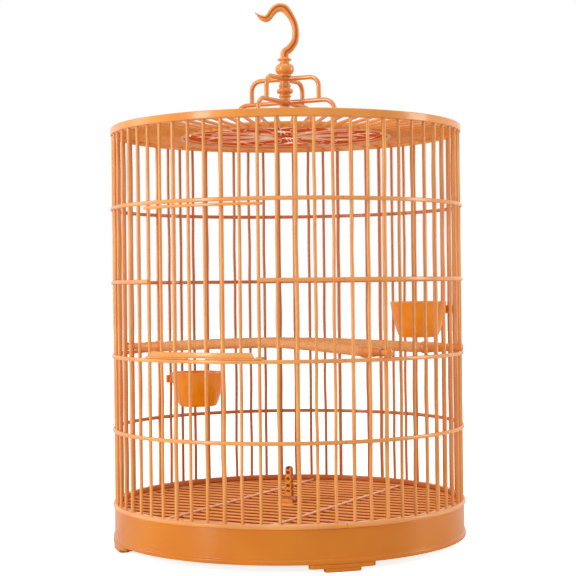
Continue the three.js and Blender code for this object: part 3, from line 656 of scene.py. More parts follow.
@dataclass(frozen=True)
class SandedPlastic:
    """Plastic with a coarse sanded grip: pale specks on a darker ground, with a raised grain."""

    name: str
    colour: Colour
    deep: Colour
    slot: Slot
    grit_size: float = 0.9 * MM
    grit_height: float = 0.22 * MM
    lump_size: float = 5.4 * MM
    lump_height_share: float = 0.8
    speck_band: Point2 = (0.4, 0.62)
    speck_share: float = 0.7
    roughness: float = 0.62
    speck_roughness: float = 0.18

    def build(self) -> bpy.types.Material:
        """Makes the material.

        Returns:
            The node-built material.
        """
        material, graph = start_material(self.name)
        where = graph.add("ShaderNodeTexCoord", output="Object")
        grit = graph.noise(where, self.grit_size, 3.0)
        lumps = graph.noise(where, self.lump_size, 2.0)
        specks = graph.masked(grit, *self.speck_band)
        pale = specks * self.speck_share + lumps * (1 - self.speck_share)
        colour = graph.blend(pale, self.deep, self.colour)
        height = grit + lumps * self.lump_height_share
        bump = {"Strength": 1.0, "Distance": self.grit_height, "Height": height}
        normal = graph.add("ShaderNodeBump", {}, bump)
        rough = self.roughness + specks * self.speck_roughness
        shader = graph.add(
            "ShaderNodeBsdfPrincipled",
            {},
            {"Base Color": colour, "Roughness": rough, "Normal": normal, "IOR": PLASTIC_IOR},
        )
        graph.add("ShaderNodeOutputMaterial", {}, {"Surface": shader})
        return material


Finish = MouldedPlastic | SandedPlastic

UPWARDS = (0.0, 0.0, 1.0)

# The wall's inner faces take painted shade: a darker, redder colour where the bars look towards the cage's
# axis.
WALL_FINISH = MouldedPlastic(
    "wall_plastic", linear(242, 166, 88), linear(224, 140, 64), Slot.MOULDED, inner=linear(196, 106, 62)
)
PAN_FINISH = MouldedPlastic(
    "pan_plastic", linear(220, 130, 30), linear(210, 117, 22), Slot.MOULDED, coat=0.1, gloss=0.25
)
ROOF_FINISH = MouldedPlastic("roof_plastic", linear(242, 158, 66), linear(226, 134, 46), Slot.MOULDED)
# The rosette's deep red, glossless colour is painted shade for its underside, which is seen from below.
ROSETTE_FINISH = MouldedPlastic(
    "rosette_plastic", linear(232, 104, 38), linear(210, 80, 22), Slot.MOULDED, 0.6, coat=0.0, gloss=0.0
)
# The rosette's raised outlines are pale: a painted highlight along the petals' edges.
ROSETTE_HIGHLIGHT_FINISH = MouldedPlastic(
    "rosette_highlight_plastic", linear(255, 216, 180), linear(250, 196, 152), Slot.MOULDED, 0.4
)
# The slats' sides are deep red and their upward faces pale: painted shade in the gaps and painted light on
# the tops.
FLOOR_FINISH = MouldedPlastic(
    "floor_grille_plastic",
    linear(206, 98, 26),
    linear(188, 82, 16),
    Slot.FLOOR,
    0.45,
    coat=0.0,
    gloss=0.1,
    painted_light=PaintedLight(UPWARDS, linear(255, 178, 100), -0.05, 0.5, both_ways=False),
)
# The ribs' upward faces are pale: a painted highlight along their tops.
FLOOR_RIB_FINISH = MouldedPlastic(
    "floor_rib_plastic",
    linear(222, 122, 58),
    linear(206, 104, 42),
    Slot.FLOOR,
    painted_light=PaintedLight(UPWARDS, linear(255, 204, 164), 0.1, 0.6, both_ways=False),
)
CUP_FINISH = MouldedPlastic("seed_cup_plastic", linear(255, 157, 20), linear(244, 138, 6), Slot.CUP, 0.16)
LEG_FINISH = MouldedPlastic(
    "leg_plastic", linear(238, 158, 62), linear(212, 123, 36), Slot.MOULDED, 0.1, coat=0.5
)
HOOK_FINISH = MouldedPlastic(
    "hook_plastic", linear(240, 157, 68), linear(226, 139, 52), Slot.MOULDED, 0.12, coat=0.5
)
# The darker strip in the hook's grooves is painted shade.
HOOK_SHADE_FINISH = MouldedPlastic(
    "hook_shade_plastic", linear(204, 98, 32), linear(182, 78, 20), Slot.MOULDED, 0.2, coat=0.1, gloss=0.2
)
PERCH_FINISH = SandedPlastic("sanded_perch", linear(250, 190, 122), linear(222, 142, 74), Slot.SANDED)
HOLDER_FINISH = MouldedPlastic(
    "perch_holder_plastic", linear(238, 150, 66), linear(214, 120, 42), Slot.MOULDED
)
# The tower's sloped notch walls and sides take a deep brown, and its front and back faces a bright amber:
# painted shade in the notches and painted light on the faces.
AMBER_FINISH = MouldedPlastic(
    "amber_plastic",
    linear(198, 102, 22),
    linear(176, 84, 12),
    Slot.AMBER,
    0.12,
    painted_light=PaintedLight((0.0, 1.0, 0.0), linear(250, 172, 74), 0.5, 0.95),
)


class FinishShelf:
    """Builds each finish once and hands it out."""

    def __init__(self) -> None:
        """Starts an empty shelf."""
        self._made: dict[str, bpy.types.Material] = {}

    def take(self, finish: Finish) -> bpy.types.Material:
        """Gives the material of a finish.

        Args:
            finish: The finish wanted.

        Returns:
            Its material, made at the first call.
        """
        if finish.name not in self._made:
            self._made[finish.name] = finish.build()
        return self._made[finish.name]


class Workshop:
    """Turns drafts into finished pieces that ride on the frame."""

    def __init__(self) -> None:
        """Starts with an empty shelf of finishes."""
        self.shelf = FinishShelf()
        self.made = 0

    def finish_piece(
        self,
        draft: Draft,
        name: str,
        finish: Finish,
        body: Body,
        node: str,
        sharp_degrees: float = CRISP_ANGLE,
    ) -> bpy.types.Object:
        """Builds a piece, dresses it and puts it in its node's place.

        Args:
            draft: The piece's mesh.
            name: The piece's name.
            finish: What it is made of.
            body: The body it rides on.
            node: The frame's node that it stands for.
            sharp_degrees: Edges that turn more than this stay crisp.

        Returns:
            The finished object.
        """
        piece = draft.build(name, sharp_degrees)
        piece.data.materials.append(self.shelf.take(finish))
        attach(piece, body.value)
        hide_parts(node)
        self.made += 1
        LOG.info("%s: %d faces, rides on %s", name, len(piece.data.polygons), body.value)
        return piece


@dataclass(frozen=True)
class Layout:
    """Sizes that several sub-assemblies share. Heights come from the frame's own nodes."""

    rail_z: float
    bar_top_z: float
    rim_top_z: float
    bar_circle: float = 165 * MM
    panels: int = 4
    bars_per_panel: int = 16
    bar_width: float = 3.0 * MM
    post_width: float = 3.8 * MM
    post_places: tuple[int, ...] = (2, 6, 9, 13)
    guide_places: tuple[int, int] = (4, 11)
    rail_height: float = 4.4 * MM
    first_bay: float = 68.6 * MM
    ring_pitch: float = 69.5 * MM
    ring_height: float = 3.6 * MM
    ring_count: int = 4
    seam_gap: float = 0.4 * MM

    @classmethod
    def from_frame(cls) -> Layout:
        """Reads the heights that the pieces share."""
        panel_low, panel_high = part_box("wall_panel_back")
        return cls(rail_z=panel_low.z, bar_top_z=panel_high.z, rim_top_z=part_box("roof_rim")[1].z)

    @property
    def span(self) -> float:
        """The angle that one panel covers."""
        return FULL_TURN / self.panels

    @property
    def bar_step(self) -> float:
        """The angle between neighbouring bars."""
        return self.span / self.bars_per_panel

    @property
    def rail_top_z(self) -> float:
        """The height of the bottom rail's top."""
        return self.rail_z + self.rail_height

    @property
    def doorway_low(self) -> float:
        """The height of the doorway's sill, the top of the second ring."""
        return self.ring_z(1) + self.ring_height / 2

    @property
    def doorway_top(self) -> float:
        """The height of the doorway's head, the underside of the fourth ring."""
        return self.ring_z(3) - self.ring_height / 2

    def ring_z(self, index: int) -> float:
        """Gives the middle height of a ring, counted from the lowest."""
        return self.rail_top_z + self.first_bay + index * self.ring_pitch

    def bar_beta(self, centre: float, place: int) -> float:
        """Gives the angle of a panel's bar."""
        return centre - self.span / 2 + (place + 0.5) * self.bar_step

    def bar_radius(self, place: int) -> float:
        """Gives half the width of the bar at a place in its panel."""
        return (self.post_width if place in self.post_places else self.bar_width) / 2

    def in_doorway(self, place: int) -> bool:
        """Tells whether a front bar lies between the door's guides."""
        return self.guide_places[0] < place < self.guide_places[1]


@dataclass
class Base:
    """The round pan with its floor grille and four stepped feet."""

    layout: Layout
    workshop: Workshop
    pan_outside: float = 2 * MM
    pan_wall: float = 2.2 * MM
    pan_floor: float = 2 * MM
    pan_lift: float = 2 * MM
    pan_edge: float = 0.7 * MM
    bead: float = 1.4 * MM
    bead_height: float = 3.6 * MM
    ledge_width: float = 3 * MM
    ledge_drop: float = 4.7 * MM
    ledge_height: float = 2.3 * MM
    foot_width: float = 59 * MM
    foot_turn: float = -1.0
    step_width: float = 32 * MM
    foot_depth: float = 10 * MM
    foot_edge: float = 0.9 * MM
    foot_seat_share: float = 0.64
    foot_taper: float = 0.45
    foot_taper_from: float = 0.9
    step_height: float = 3.2 * MM
    slat_pitch: float = 15.8 * MM
    slat_width: float = 4.6 * MM
    slat_height: float = 2.4 * MM
    slat_edge: float = 1.1 * MM
    rib_place: float = 52 * MM
    rib_width: float = 3 * MM
    rib_proud: float = 1.6 * MM
    rib_edge: float = 1.2 * MM
    rib_back: float = 3.6 * MM
    hoop_width: float = 3.9 * MM
    hoop_height: float = 3.5 * MM
    hoop_edge: float = 0.8 * MM
    pad: Point2 = (16 * MM, 22 * MM)
    pad_edge: float = 0.6 * MM
    fit: float = 0.3 * MM

    @property
    def pan_radius(self) -> float:
        """The radius of the pan's outer wall."""
        return self.layout.bar_circle + self.pan_outside

    def make(self) -> None:
        """Builds the pan, the grille and the feet."""
        self.make_pan()
        self.make_grille()
        self.make_feet()

    def make_pan(self) -> None:
        """Turns the pan, with its rolled bead, rim lip and inner ledge."""
        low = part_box("base_pan")[0].z
        top = self.layout.rail_z
        bead = self.pan_radius + self.bead
        inside = self.pan_radius - self.pan_wall
        ledge_z = top - self.ledge_drop
        ledge_r = inside - self.ledge_width
        floor_z = low + self.pan_lift
        foot_r = bead - self.foot_depth * self.foot_seat_share
        profile = eased(
            [
                (0.0, floor_z),
                (foot_r - self.pan_lift, floor_z),
                (foot_r, low),
                (bead, low),
                (bead, low + self.bead_height),
                (self.pan_radius, low + self.bead_height + self.bead / 2),
                (self.pan_radius, top),
                (inside, top),
                (inside, ledge_z),
                (ledge_r, ledge_z),
                (ledge_r, ledge_z - self.ledge_height / 2),
                (inside, ledge_z - self.ledge_height - self.ledge_width / 2),
                (inside, floor_z + self.pan_floor),
                (0.0, floor_z + self.pan_floor),
            ],
            self.pan_edge,
        )
        draft = Draft()
        draft.turn(profile, HOOP_STEPS)
        self.workshop.finish_piece(draft, "pan", PAN_FINISH, Body.CAGE, "base_pan")

    def make_grille(self) -> None:
        """Lays the slats and ribs in their hoop."""
        grille_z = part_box("floor_grille")[0].z
        slat_top = grille_z + self.hoop_height
        outside = self.pan_radius - self.pan_wall - self.fit
        reach = outside - self.hoop_width / 2
        draft = Draft()
        slat = rounded_box(self.slat_width, self.slat_height, self.slat_edge)
        count = int(2 * reach / self.slat_pitch)
        for k in range(count + 1):
            y = (k - count / 2) * self.slat_pitch
            half = math.sqrt(reach**2 - y**2)
            z = slat_top - self.slat_height / 2
            draft.beam(Vector((-half, y, z)), Vector((half, y, z)), slat)
        ribs = Draft()
        rib_height = self.hoop_height + self.rib_proud
        rib = rounded_box(self.rib_width, rib_height, self.rib_edge)
        inner = self.layout.bar_circle - self.rib_back
        for side in (-1, 1):
            x = side * self.rib_place
            half = math.sqrt(inner**2 - x**2)
            z = grille_z + rib_height / 2
            ribs.beam(Vector((x, -half, z)), Vector((x, half, z)), rib)
        pad_x, pad_y = (size / 2 for size in self.pad)
        pad_low = Vector((-pad_x, -pad_y, slat_top - self.slat_height))
        draft.block(pad_low, Vector((pad_x, pad_y, slat_top)), self.pad_edge)
        hoop = rounded_box(self.hoop_width, self.hoop_height, self.hoop_edge)
        draft.arc(hoop, 0.0, FULL_TURN, reach, grille_z + self.hoop_height / 2)
        self.workshop.finish_piece(draft, "slatted_floor", FLOOR_FINISH, Body.CAGE, "floor_grille")
        self.workshop.finish_piece(ribs, "floor_ribs", FLOOR_RIB_FINISH, Body.CAGE, "floor_grille")

    def make_feet(self) -> None:
        """Makes each two-tiered foot under a panel seam."""
        outside = self.pan_radius + self.bead
        middle = outside - self.foot_depth / 2
        foot_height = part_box("base_pan")[0].z
        for k, side in enumerate(SIDES):
            node = f"foot_{side}_{SIDES[(k + 1) % len(SIDES)]}"
            beta = (k + 0.5) * self.layout.span + self.foot_turn
            draft = Draft()
            tiers = (
                (self.foot_width, self.step_height, foot_height),
                (self.step_width, 0.0, self.step_height + self.fit),
            )
            for width, low, high in tiers:
                self._tier(draft, beta, width, low, high, middle)
            self.workshop.finish_piece(draft, f"stepped_{node}", PAN_FINISH, Body.CAGE, node)

    def _tier(self, draft: Draft, beta: float, width: float, low: float, high: float, radius: float) -> None:
        """Adds one tier of a foot, with round ends.

        Args:
            draft: The foot's draft.
            beta: The foot's angle.
            width: The tier's length along the wall.
            low: Its underside.
            high: Its top.
            radius: Its middle radius.
        """
        outline = rounded_box(self.foot_depth, high - low, self.foot_edge)
        half = arc_degrees(width, radius) / 2
        rings = []
        steps = 24
        for i in range(steps + 1):
            share = 2 * i / steps - 1
            past = max(0.0, (abs(share) - self.foot_taper_from) / (1 - self.foot_taper_from))
            shrink = 1 - self.foot_taper * past**2
            angle = beta + half * share
            z = (low + high) / 2
            rings.append([polar(angle, radius + u * shrink, z + v) for u, v in outline])
        draft.loft(rings)


@dataclass
class Wall:
    """The four quarter panels of bars, rings and bottom rail."""

    layout: Layout
    workshop: Workshop
    ring_in: float = 0.4 * MM
    ring_out: float = 3.0 * MM
    ring_edge: float = 1.05 * MM
    rail_in: float = 2.8 * MM
    rail_out: float = 3.5 * MM
    rail_edge: float = 0.5 * MM
    rail_slope: float = 1.3 * MM
    rail_shoulder: float = 1.1 * MM
    groove_height: float = 0.6 * MM
    groove_top: float = 0.9 * MM
    bar_root: float = 1 * MM
    bow: float = 0.55 * MM
    fit: float = 0.3 * MM
    dice: random.Random = field(default_factory=lambda: random.Random(BAR_SEED))

    def make(self) -> None:
        """Builds the panels, the front one with its doorway."""
        for k, side in enumerate(SIDES):
            draft = self.panel(k * self.layout.span, side == "front")
            self.workshop.finish_piece(draft, f"bars_{side}", WALL_FINISH, Body.CAGE, f"wall_panel_{side}")

    def panel(self, centre: float, has_door: bool) -> Draft:
        """Drafts one quarter of the wall.

        Args:
            centre: The panel's middle angle.
            has_door: Whether its middle bars stop at the doorway.

        Returns:
            The panel's draft.
        """
        layout = self.layout
        draft = Draft()
        seam = arc_degrees(layout.seam_gap, layout.bar_circle) / 2
        start = centre - layout.span / 2 + seam
        end = centre + layout.span / 2 - seam
        self._rail(draft, start, end)
        for level in range(layout.ring_count):
            for first, last in self._ring_spans(centre, start, end, has_door and level == 2):
                self._ring(draft, first, last, layout.ring_z(level))
        root = layout.rail_top_z - self.bar_root
        for place in range(layout.bars_per_panel):
            beta = layout.bar_beta(centre, place)
            radius = layout.bar_radius(place)
            if has_door and layout.in_doorway(place):
                self._bar(draft, beta, radius, root, layout.doorway_low - self.fit)
                self._bar(draft, beta, radius, layout.doorway_top + self.fit, layout.bar_top_z)
            else:
                steady = has_door and place in layout.guide_places
                self._bar(draft, beta, radius, root, layout.bar_top_z, steady)
        return draft

    def _ring_spans(self, centre: float, start: float, end: float, cut: bool) -> list[tuple[float, float]]:
        """Gives the stretches of a ring, left and right of the doorway where it is cut.

        Args:
            centre: The panel's angle.
            start: First angle.
            end: Last angle.
            cut: Whether the doorway cuts the ring.

        Returns:
            First and last angle of each stretch.
        """
        if not cut:
            return [(start, end)]
        lap = arc_degrees(self.layout.bar_width / 3, self.layout.bar_circle)
        left, right = (self.layout.bar_beta(centre, place) for place in self.layout.guide_places)
        return [(start, left + lap), (right - lap, end)]

    def _rail(self, draft: Draft, start: float, end: float) -> None:
        """Adds the bottom rail with its rounded top and shadow groove.

        Args:
            draft: The panel's draft.
            start: First angle.
            end: Last angle.
        """
        height = self.layout.rail_height
        outline = eased(
            [
                (-self.rail_in, 0.0),
                (self.rail_out - self.rail_shoulder, 0.0),
                (self.rail_out - self.rail_shoulder, self.groove_height),
                (self.rail_out, self.groove_top),
                (self.rail_out, height - self.rail_shoulder),
                (self.rail_out - self.rail_slope, height),
                (-self.rail_in, height),
            ],
            self.rail_edge,
            closed=True,
        )
        draft.arc(outline, start, end, self.layout.bar_circle, self.layout.rail_z)

    def _ring(self, draft: Draft, start: float, end: float, z: float) -> None:
        """Adds a stretch of ring outside the bars.

        Args:
            draft: The panel's draft.
            start: First angle.
            end: Last angle.
            z: The ring's middle height.
        """
        width = self.ring_out - self.ring_in
        middle = self.layout.bar_circle + (self.ring_in + self.ring_out) / 2
        outline = rounded_box(width, self.layout.ring_height, self.ring_edge)
        draft.arc(outline, start, end, middle, z)

    def _bar(
        self,
        draft: Draft,
        beta: float,
        radius: float,
        low: float,
        high: float,
        steady: bool = False,
    ) -> None:
        """Adds an upright bar, slightly bowed between the rings.

        Args:
            draft: The panel's draft.
            beta: The bar's angle.
            radius: Half its width.
            low: Its lower end.
            high: Its upper end.
            steady: Whether it stays straight for the door.
        """
        layout = self.layout
        knots = [low, *(layout.ring_z(i) for i in range(layout.ring_count)), high]
        knots = [z for z in knots if low <= z <= high]
        path = []
        for bottom, top in zip(knots, knots[1:]):
            lean = 0.0 if steady else self.dice.uniform(-self.bow, self.bow)
            reach = 0.0 if steady else self.dice.uniform(-self.bow, 0.0) / 2
            steps = 8
            for step in range(steps):
                share = step / steps
                swell = math.sin(math.pi * share) ** 2
                turn = arc_degrees(lean * swell, layout.bar_circle)
                height = bottom + (top - bottom) * share
                path.append(polar(beta + turn, layout.bar_circle + reach * swell, height))
        path.append(polar(beta, layout.bar_circle, high))
        draft.rod(path, [radius] * len(path), normal=polar(beta, 1.0, 0.0))


@dataclass
class Door:
    """The swing-out door: six bars between a top band and a bottom strip with its pull plate."""

    layout: Layout
    workshop: Workshop
    rail_in: float = 1 * MM
    rail_out: float = 3.6 * MM
    band_height: float = 2.8 * MM
    band_drop: float = 1.1 * MM
    band_edge: float = 0.9 * MM
    bar_drop: float = 0.5 * MM
    bar_tip_share: float = 0.7
    sill_lift: float = 0.1 * MM
    sill_height: float = 1.4 * MM
    sill_edge: float = 0.6 * MM
    plate_height: float = 4.7 * MM
    plate_edge: float = 0.8 * MM
    overrun: float = 2.8 * MM
    plate_foot_back: float = 3.9 * MM
    plate_top_back: float = 6.3 * MM
    sleeve_wall: float = 1.2 * MM
    sleeve_height: float = 2.2 * MM
    bore: float = 1.8 * MM
    mouth: float = 2.2 * MM
    jaw: float = 2 * MM
    jaw_back_share: float = 0.8
    notch_span: float = 6.4
    notch_lap: float = 0.2
    notch_height: float = 0.9 * MM

    def make(self) -> None:
        """Builds the door."""
        layout = self.layout
        draft = Draft()
        guide = layout.bar_beta(0.0, layout.guide_places[1])
        overrun = arc_degrees(self.overrun, layout.bar_circle)
        middle = layout.bar_circle + (self.rail_in + self.rail_out) / 2
        depth = self.rail_out - self.rail_in
        band_top = layout.doorway_top - self.band_drop
        band = rounded_box(depth, self.band_height, self.band_edge)
        draft.arc(band, -guide - overrun, guide + overrun, middle, band_top - self.band_height / 2)
        sill_low = layout.doorway_low + self.sill_lift
        plate_low = sill_low + self.sill_height
        self._sill(draft, guide + overrun, middle, depth, sill_low)
        self._plate(draft, guide, middle, depth, plate_low)
        bar_top = layout.doorway_top - self.bar_drop
        for place in range(layout.guide_places[0] + 1, layout.guide_places[1]):
            beta = layout.bar_beta(0.0, place)
            radius = layout.bar_radius(place)
            ends = [polar(beta, layout.bar_circle, z) for z in (plate_low, bar_top - radius / 2, bar_top)]
            radii = [radius, radius, radius * self.bar_tip_share]
            draft.rod(ends, radii, normal=polar(beta, 1.0, 0.0))
        for low in (sill_low, band_top - (self.band_height + self.sleeve_height) / 2):
            self._clip(draft, -guide, low, self.mouth / 2, self.bore + self.sleeve_wall)
            self._clip(draft, guide, low, self.bore, self.bore + self.sleeve_wall + self.jaw)
        self.workshop.finish_piece(draft, "swing_door", WALL_FINISH, Body.DOOR, "door")

    def _sill(self, draft: Draft, reach: float, middle: float, depth: float, low: float) -> None:
        """Adds the thin bottom strip, hollowed under the finger notch.

        Args:
            draft: The door's draft.
            reach: The angle where the strip ends.
            middle: Its middle radius.
            depth: Its thickness.
            low: Its underside.
        """
        last = self.notch_span / 2
        height = self.sill_height
        thin = height - self.notch_height
        whole = rounded_box(depth, height, self.sill_edge)
        bridge = rounded_box(depth, thin, self.sill_edge / 2)
        draft.arc(whole, -reach, -last, middle, low + height / 2)
        draft.arc(bridge, -last - self.notch_lap, last + self.notch_lap, middle, low + height - thin / 2)
        draft.arc(whole, last, reach, middle, low + height / 2)

    def _plate(self, draft: Draft, guide: float, middle: float, depth: float, low: float) -> None:
        """Adds the pull plate, whose ends slant in towards the top.

        Args:
            draft: The door's draft.
            guide: The guide bars' angle.
            middle: The plate's middle radius.
            depth: Its thickness.
            low: Its underside.
        """
        foot_end = guide - arc_degrees(self.plate_foot_back, self.layout.bar_circle)
        top_end = guide - arc_degrees(self.plate_top_back, self.layout.bar_circle)
        steps = 40
        rings = []
        for i in range(steps + 1):
            share = 2 * i / steps - 1
            ring = []
            for u, v in rounded_box(depth, self.plate_height, self.plate_edge):
                rise = v / self.plate_height + 0.5
                beta = share * (foot_end + (top_end - foot_end) * rise)
                ring.append(polar(beta, middle + u, low + self.plate_height / 2 + v))
            rings.append(ring)
        draft.loft(rings)

    def _clip(self, draft: Draft, beta: float, low: float, mouth: float, reach: float) -> None:
        """Adds a clip round a guide bar, open towards the cage's inside.

        Args:
            draft: The door's draft.
            beta: The guide bar's angle.
            low: The clip's underside.
            mouth: Half the width of its opening.
            reach: How far its jaws run in from the bar's middle.
        """
        centre = polar(beta, self.layout.bar_circle, 0.0)
        outer = self.bore + self.sleeve_wall
        inner_stop = math.asin(min(1.0, mouth / self.bore))
        start = math.pi / 2 + inner_stop
        end = 2.5 * math.pi - inner_stop
        straight = reach > outer
        jaw_end = reach - outer * self.jaw_back_share
        outside: list[Point2] = []
        inside: list[Point2] = []
        steps = 28
        if straight:
            start, end = math.pi, 2 * math.pi
            outside.append((-outer, jaw_end))
            inside.append((-self.bore, jaw_end))
        for i in range(steps + 1):
            angle = start + (end - start) * i / steps
            outside.append((outer * math.cos(angle), outer * math.sin(angle)))
            inside.append((self.bore * math.cos(angle), self.bore * math.sin(angle)))
        if straight:
            outside.append((outer, jaw_end))
            inside.append((self.bore, jaw_end))
        rings = []
        for (ox, oy), (ix, iy) in zip(outside, inside):
            ring = []
            for share, z in ((0.0, 0.0), (1.0, 0.0), (1.0, self.sleeve_height), (0.0, self.sleeve_height)):
                ring.append(centre + Vector((ix + (ox - ix) * share, iy + (oy - iy) * share, low + z)))
            rings.append(ring)
        draft.loft(rings)


@dataclass
class Roof:
    """The rim, the spoked grille and the petalled rosette.

    Each of the rosette's holes is given by its first radius, its last radius and half its width.
    """

    layout: Layout
    workshop: Workshop
    rim_stand: float = 2.4 * MM
    rim_skin: float = 1.5 * MM
    rim_height: float = 7 * MM
    rim_edge: float = 1.1 * MM
    lip_height: float = 1.6 * MM
    lip_width: float = 6.9 * MM
    hoop_width: float = 4.6 * MM
    hoop_height: float = 5.7 * MM
    hoop_edge: float = 0.7 * MM
    spoke_width: float = 2.8 * MM
    spoke_height: float = 2.8 * MM
    spoke_edge: float = 1.1 * MM
    spoke_fall: float = 4.3 * MM
    spoke_drop: float = 4 * MM
    collar_wall: float = 3.2 * MM
    collar_height: float = 5.5 * MM
    collar_edge: float = 0.6 * MM
    collar_lip: float = 2.6 * MM
    collar_lip_height: float = 1 * MM
    rosette_height: float = 1.8 * MM
    petals: int = 8
    petal_start: float = 9 * MM
    petal_back: float = 4 * MM
    petal_width: float = 28 * MM
    petal_gap: float = 3 * MM
    petal_edge: float = 0.3 * MM
    hub_radius: float = 13 * MM
    plate_step: float = 0.12 * MM
    plate_edge: float = 0.5 * MM
    seam: float = 0.15 * MM
    holes: tuple[tuple[float, float, float], ...] = (
        (13 * MM, 48 * MM, 9.9 * MM),
        (58 * MM, 98 * MM, 11 * MM),
    )
    outline_width: float = 0.9 * MM
    outline_shares: Point2 = (1.0, 0.55)
    outline_power: float = 1.2
    outline_sides: int = 8
    mid_ring: float = 53 * MM
    mid_ring_width: float = 10 * MM
    edge_band: float = 5 * MM
    fit: float = 0.3 * MM

    @property
    def collar_radius(self) -> float:
        """The outer radius of the grille's inner collar."""
        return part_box("roof_rosette")[1].x + self.fit + self.collar_wall

    def make(self) -> None:
        """Builds the three roof pieces."""
        self.make_rim()
        self.make_grille()
        self.make_rosette()

    def make_rim(self) -> None:
        """Turns the channelled rim with its eased top edge."""
        outside = self.layout.bar_circle + self.rim_stand
        top = self.layout.rim_top_z
        skin = outside - self.rim_skin
        lip = outside - self.lip_width
        profile = eased(
            [
                (outside, top - self.rim_height),
                (outside, top),
                (lip, top),
                (lip, top - self.lip_height),
                (skin, top - self.lip_height),
                (skin, top - self.rim_height),
            ],
            self.rim_edge,
            closed=True,
        )
        draft = Draft()
        draft.turn(profile, HOOP_STEPS)
        self.workshop.finish_piece(draft, "rim_hoop", ROOF_FINISH, Body.CAGE, "roof_rim")

    def make_grille(self) -> None:
        """Lays the sloping spokes between the hoop and the collar."""
        layout = self.layout
        draft = Draft()
        hoop_out = layout.bar_circle + self.rim_stand - self.rim_skin - self.fit
        hoop_mid = hoop_out - self.hoop_width / 2
        hoop = rounded_box(self.hoop_width, self.hoop_height, self.hoop_edge)
        draft.arc(hoop, 0.0, FULL_TURN, hoop_mid, layout.bar_top_z + self.hoop_height / 2)
        collar_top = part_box("roof_rosette")[1].z + self.collar_lip_height
        inside = self.collar_radius - self.collar_wall
        profile = eased(
            [
                (inside, collar_top - self.collar_height),
                (self.collar_radius, collar_top - self.collar_height),
                (self.collar_radius, collar_top),
                (inside - self.collar_lip, collar_top),
                (inside - self.collar_lip, collar_top - self.collar_lip_height),
                (inside, collar_top - self.collar_lip_height),
            ],
            self.collar_edge,
            closed=True,
        )
        draft.turn(profile, COLLAR_STEPS)
        spoke = rounded_box(self.spoke_width, self.spoke_height, self.spoke_edge)
        inner = self.collar_radius - self.collar_wall / 2
        outer_z = layout.bar_top_z + self.spoke_drop
        for k in range(layout.panels * layout.bars_per_panel):
            beta = (k + 0.5) * layout.bar_step
            draft.beam(polar(beta, inner, outer_z - self.spoke_fall), polar(beta, hoop_mid, outer_z), spoke)
        self.workshop.finish_piece(draft, "roof_spokes", ROOF_FINISH, Body.CAGE, "roof_grille")

    def make_rosette(self) -> None:
        """Lays eight solid petals between a hub, a middle band and an edge band, and outlines them with pale
        lines whose colour is a painted highlight.
        """
        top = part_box("roof_rosette")[1].z
        z = top - self.rosette_height / 2
        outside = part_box("roof_rosette")[1].x
        draft = Draft()
        thin = self.rosette_height - 2 * self.plate_step
        flat = thin / 2
        round_over = self.plate_edge
        hub_line = [(0.0, -flat), (self.hub_radius, -flat), (self.hub_radius, flat), (0.0, flat)]
        hub = eased(hub_line, round_over)
        draft.turn([(radius, z + height) for radius, height in hub], TURNED_STEPS)
        edge = rounded_box(self.edge_band, thin, round_over)
        draft.arc(edge, 0.0, FULL_TURN, outside - self.edge_band / 2, z)
        band = rounded_box(self.mid_ring_width, thin, round_over)
        draft.arc(band, 0.0, FULL_TURN, self.mid_ring, z)
        tip = outside - self.petal_back
        betas = [k * FULL_TURN / self.petals for k in range(self.petals)]
        for beta in betas:
            self._petal(draft, beta, tip, z)
        self.workshop.finish_piece(draft, "petal_rosette", ROSETTE_FINISH, Body.CAGE, "roof_rosette")
        # The pale outlines carry a painted highlight.
        highlight_lines = Draft()
        stand = self.rosette_height / 2 + self.outline_width / 4
        ring = rounded_box(self.outline_width, self.outline_width, self.outline_width / 3)
        for height in (z - stand, z + stand):
            for beta in betas:
                for share in self.outline_shares:
                    self._outline(highlight_lines, beta, tip, height, share)
            highlight_lines.arc(ring, 0.0, FULL_TURN, outside - self.outline_width, height)
        self.workshop.finish_piece(highlight_lines, "rosette_highlight_outlines", ROSETTE_HIGHLIGHT_FINISH, Body.CAGE, "roof_rosette")

    def _petal_half(self, radius: float) -> float:
        """Gives half a petal's width at a radius: what the pointed holes beside it leave.

        Args:
            radius: Distance from the cage's axis.

        Returns:
            Half the petal's width.
        """
        hole = 0.0
        for first, last, half in self.holes:
            share = min(1.0, max(0.0, (radius - first) / (last - first)))
            hole += half * math.sin(math.pi * share)
        return math.pi * radius / self.petals - hole - self.seam

    def _line_half(self, share: float, radius: float) -> float:
        """Gives half the width of a petal's outline.

        Args:
            share: How far along the petal, 0 to 1.
            radius: Distance from the cage's axis there.

        Returns:
            Half the outline's width.
        """
        widest = math.pi * radius / self.petals - self.petal_gap / 2
        swell = math.sin(math.pi * share**self.outline_power) ** self.outline_power
        return min(self.petal_width * swell, widest)

    def _petal(self, draft: Draft, beta: float, tip: float, z: float) -> None:
        """Adds a solid pointed petal.

        Args:
            draft: The rosette's draft.
            beta: The petal's angle.
            tip: Radius of its outer tip.
            z: Its middle height.
        """
        steps = 40
        rings = []
        for i in range(1, steps):
            share = i / steps
            radius = self.petal_start + (tip - self.petal_start) * share
            width = 2 * self._petal_half(radius)
            outline = rounded_box(width, self.rosette_height, self.petal_edge, 1)
            rings.append([polar(beta + arc_degrees(u, radius), radius, z + v) for u, v in outline])
        draft.loft(rings)

    def _outline(self, draft: Draft, beta: float, tip: float, z: float, size: float) -> None:
        """Adds the raised line round a petal.

        Args:
            draft: The lines' draft.
            beta: The petal's angle.
            tip: Radius of its outer tip.
            z: The line's middle height.
            size: How large the line is drawn beside the petal.
        """
        start = self.petal_start
        middle = (start + tip) / 2
        steps = 24
        for side in (-1, 1):
            path = []
            for i in range(1, steps):
                share = i / steps
                radius = start + (tip - start) * share
                offset = side * self._line_half(share, radius) * size
                path.append(polar(beta + arc_degrees(offset, radius), middle + (radius - middle) * size, z))
            draft.rod(path, [self.outline_width / 2] * len(path), self.outline_sides)


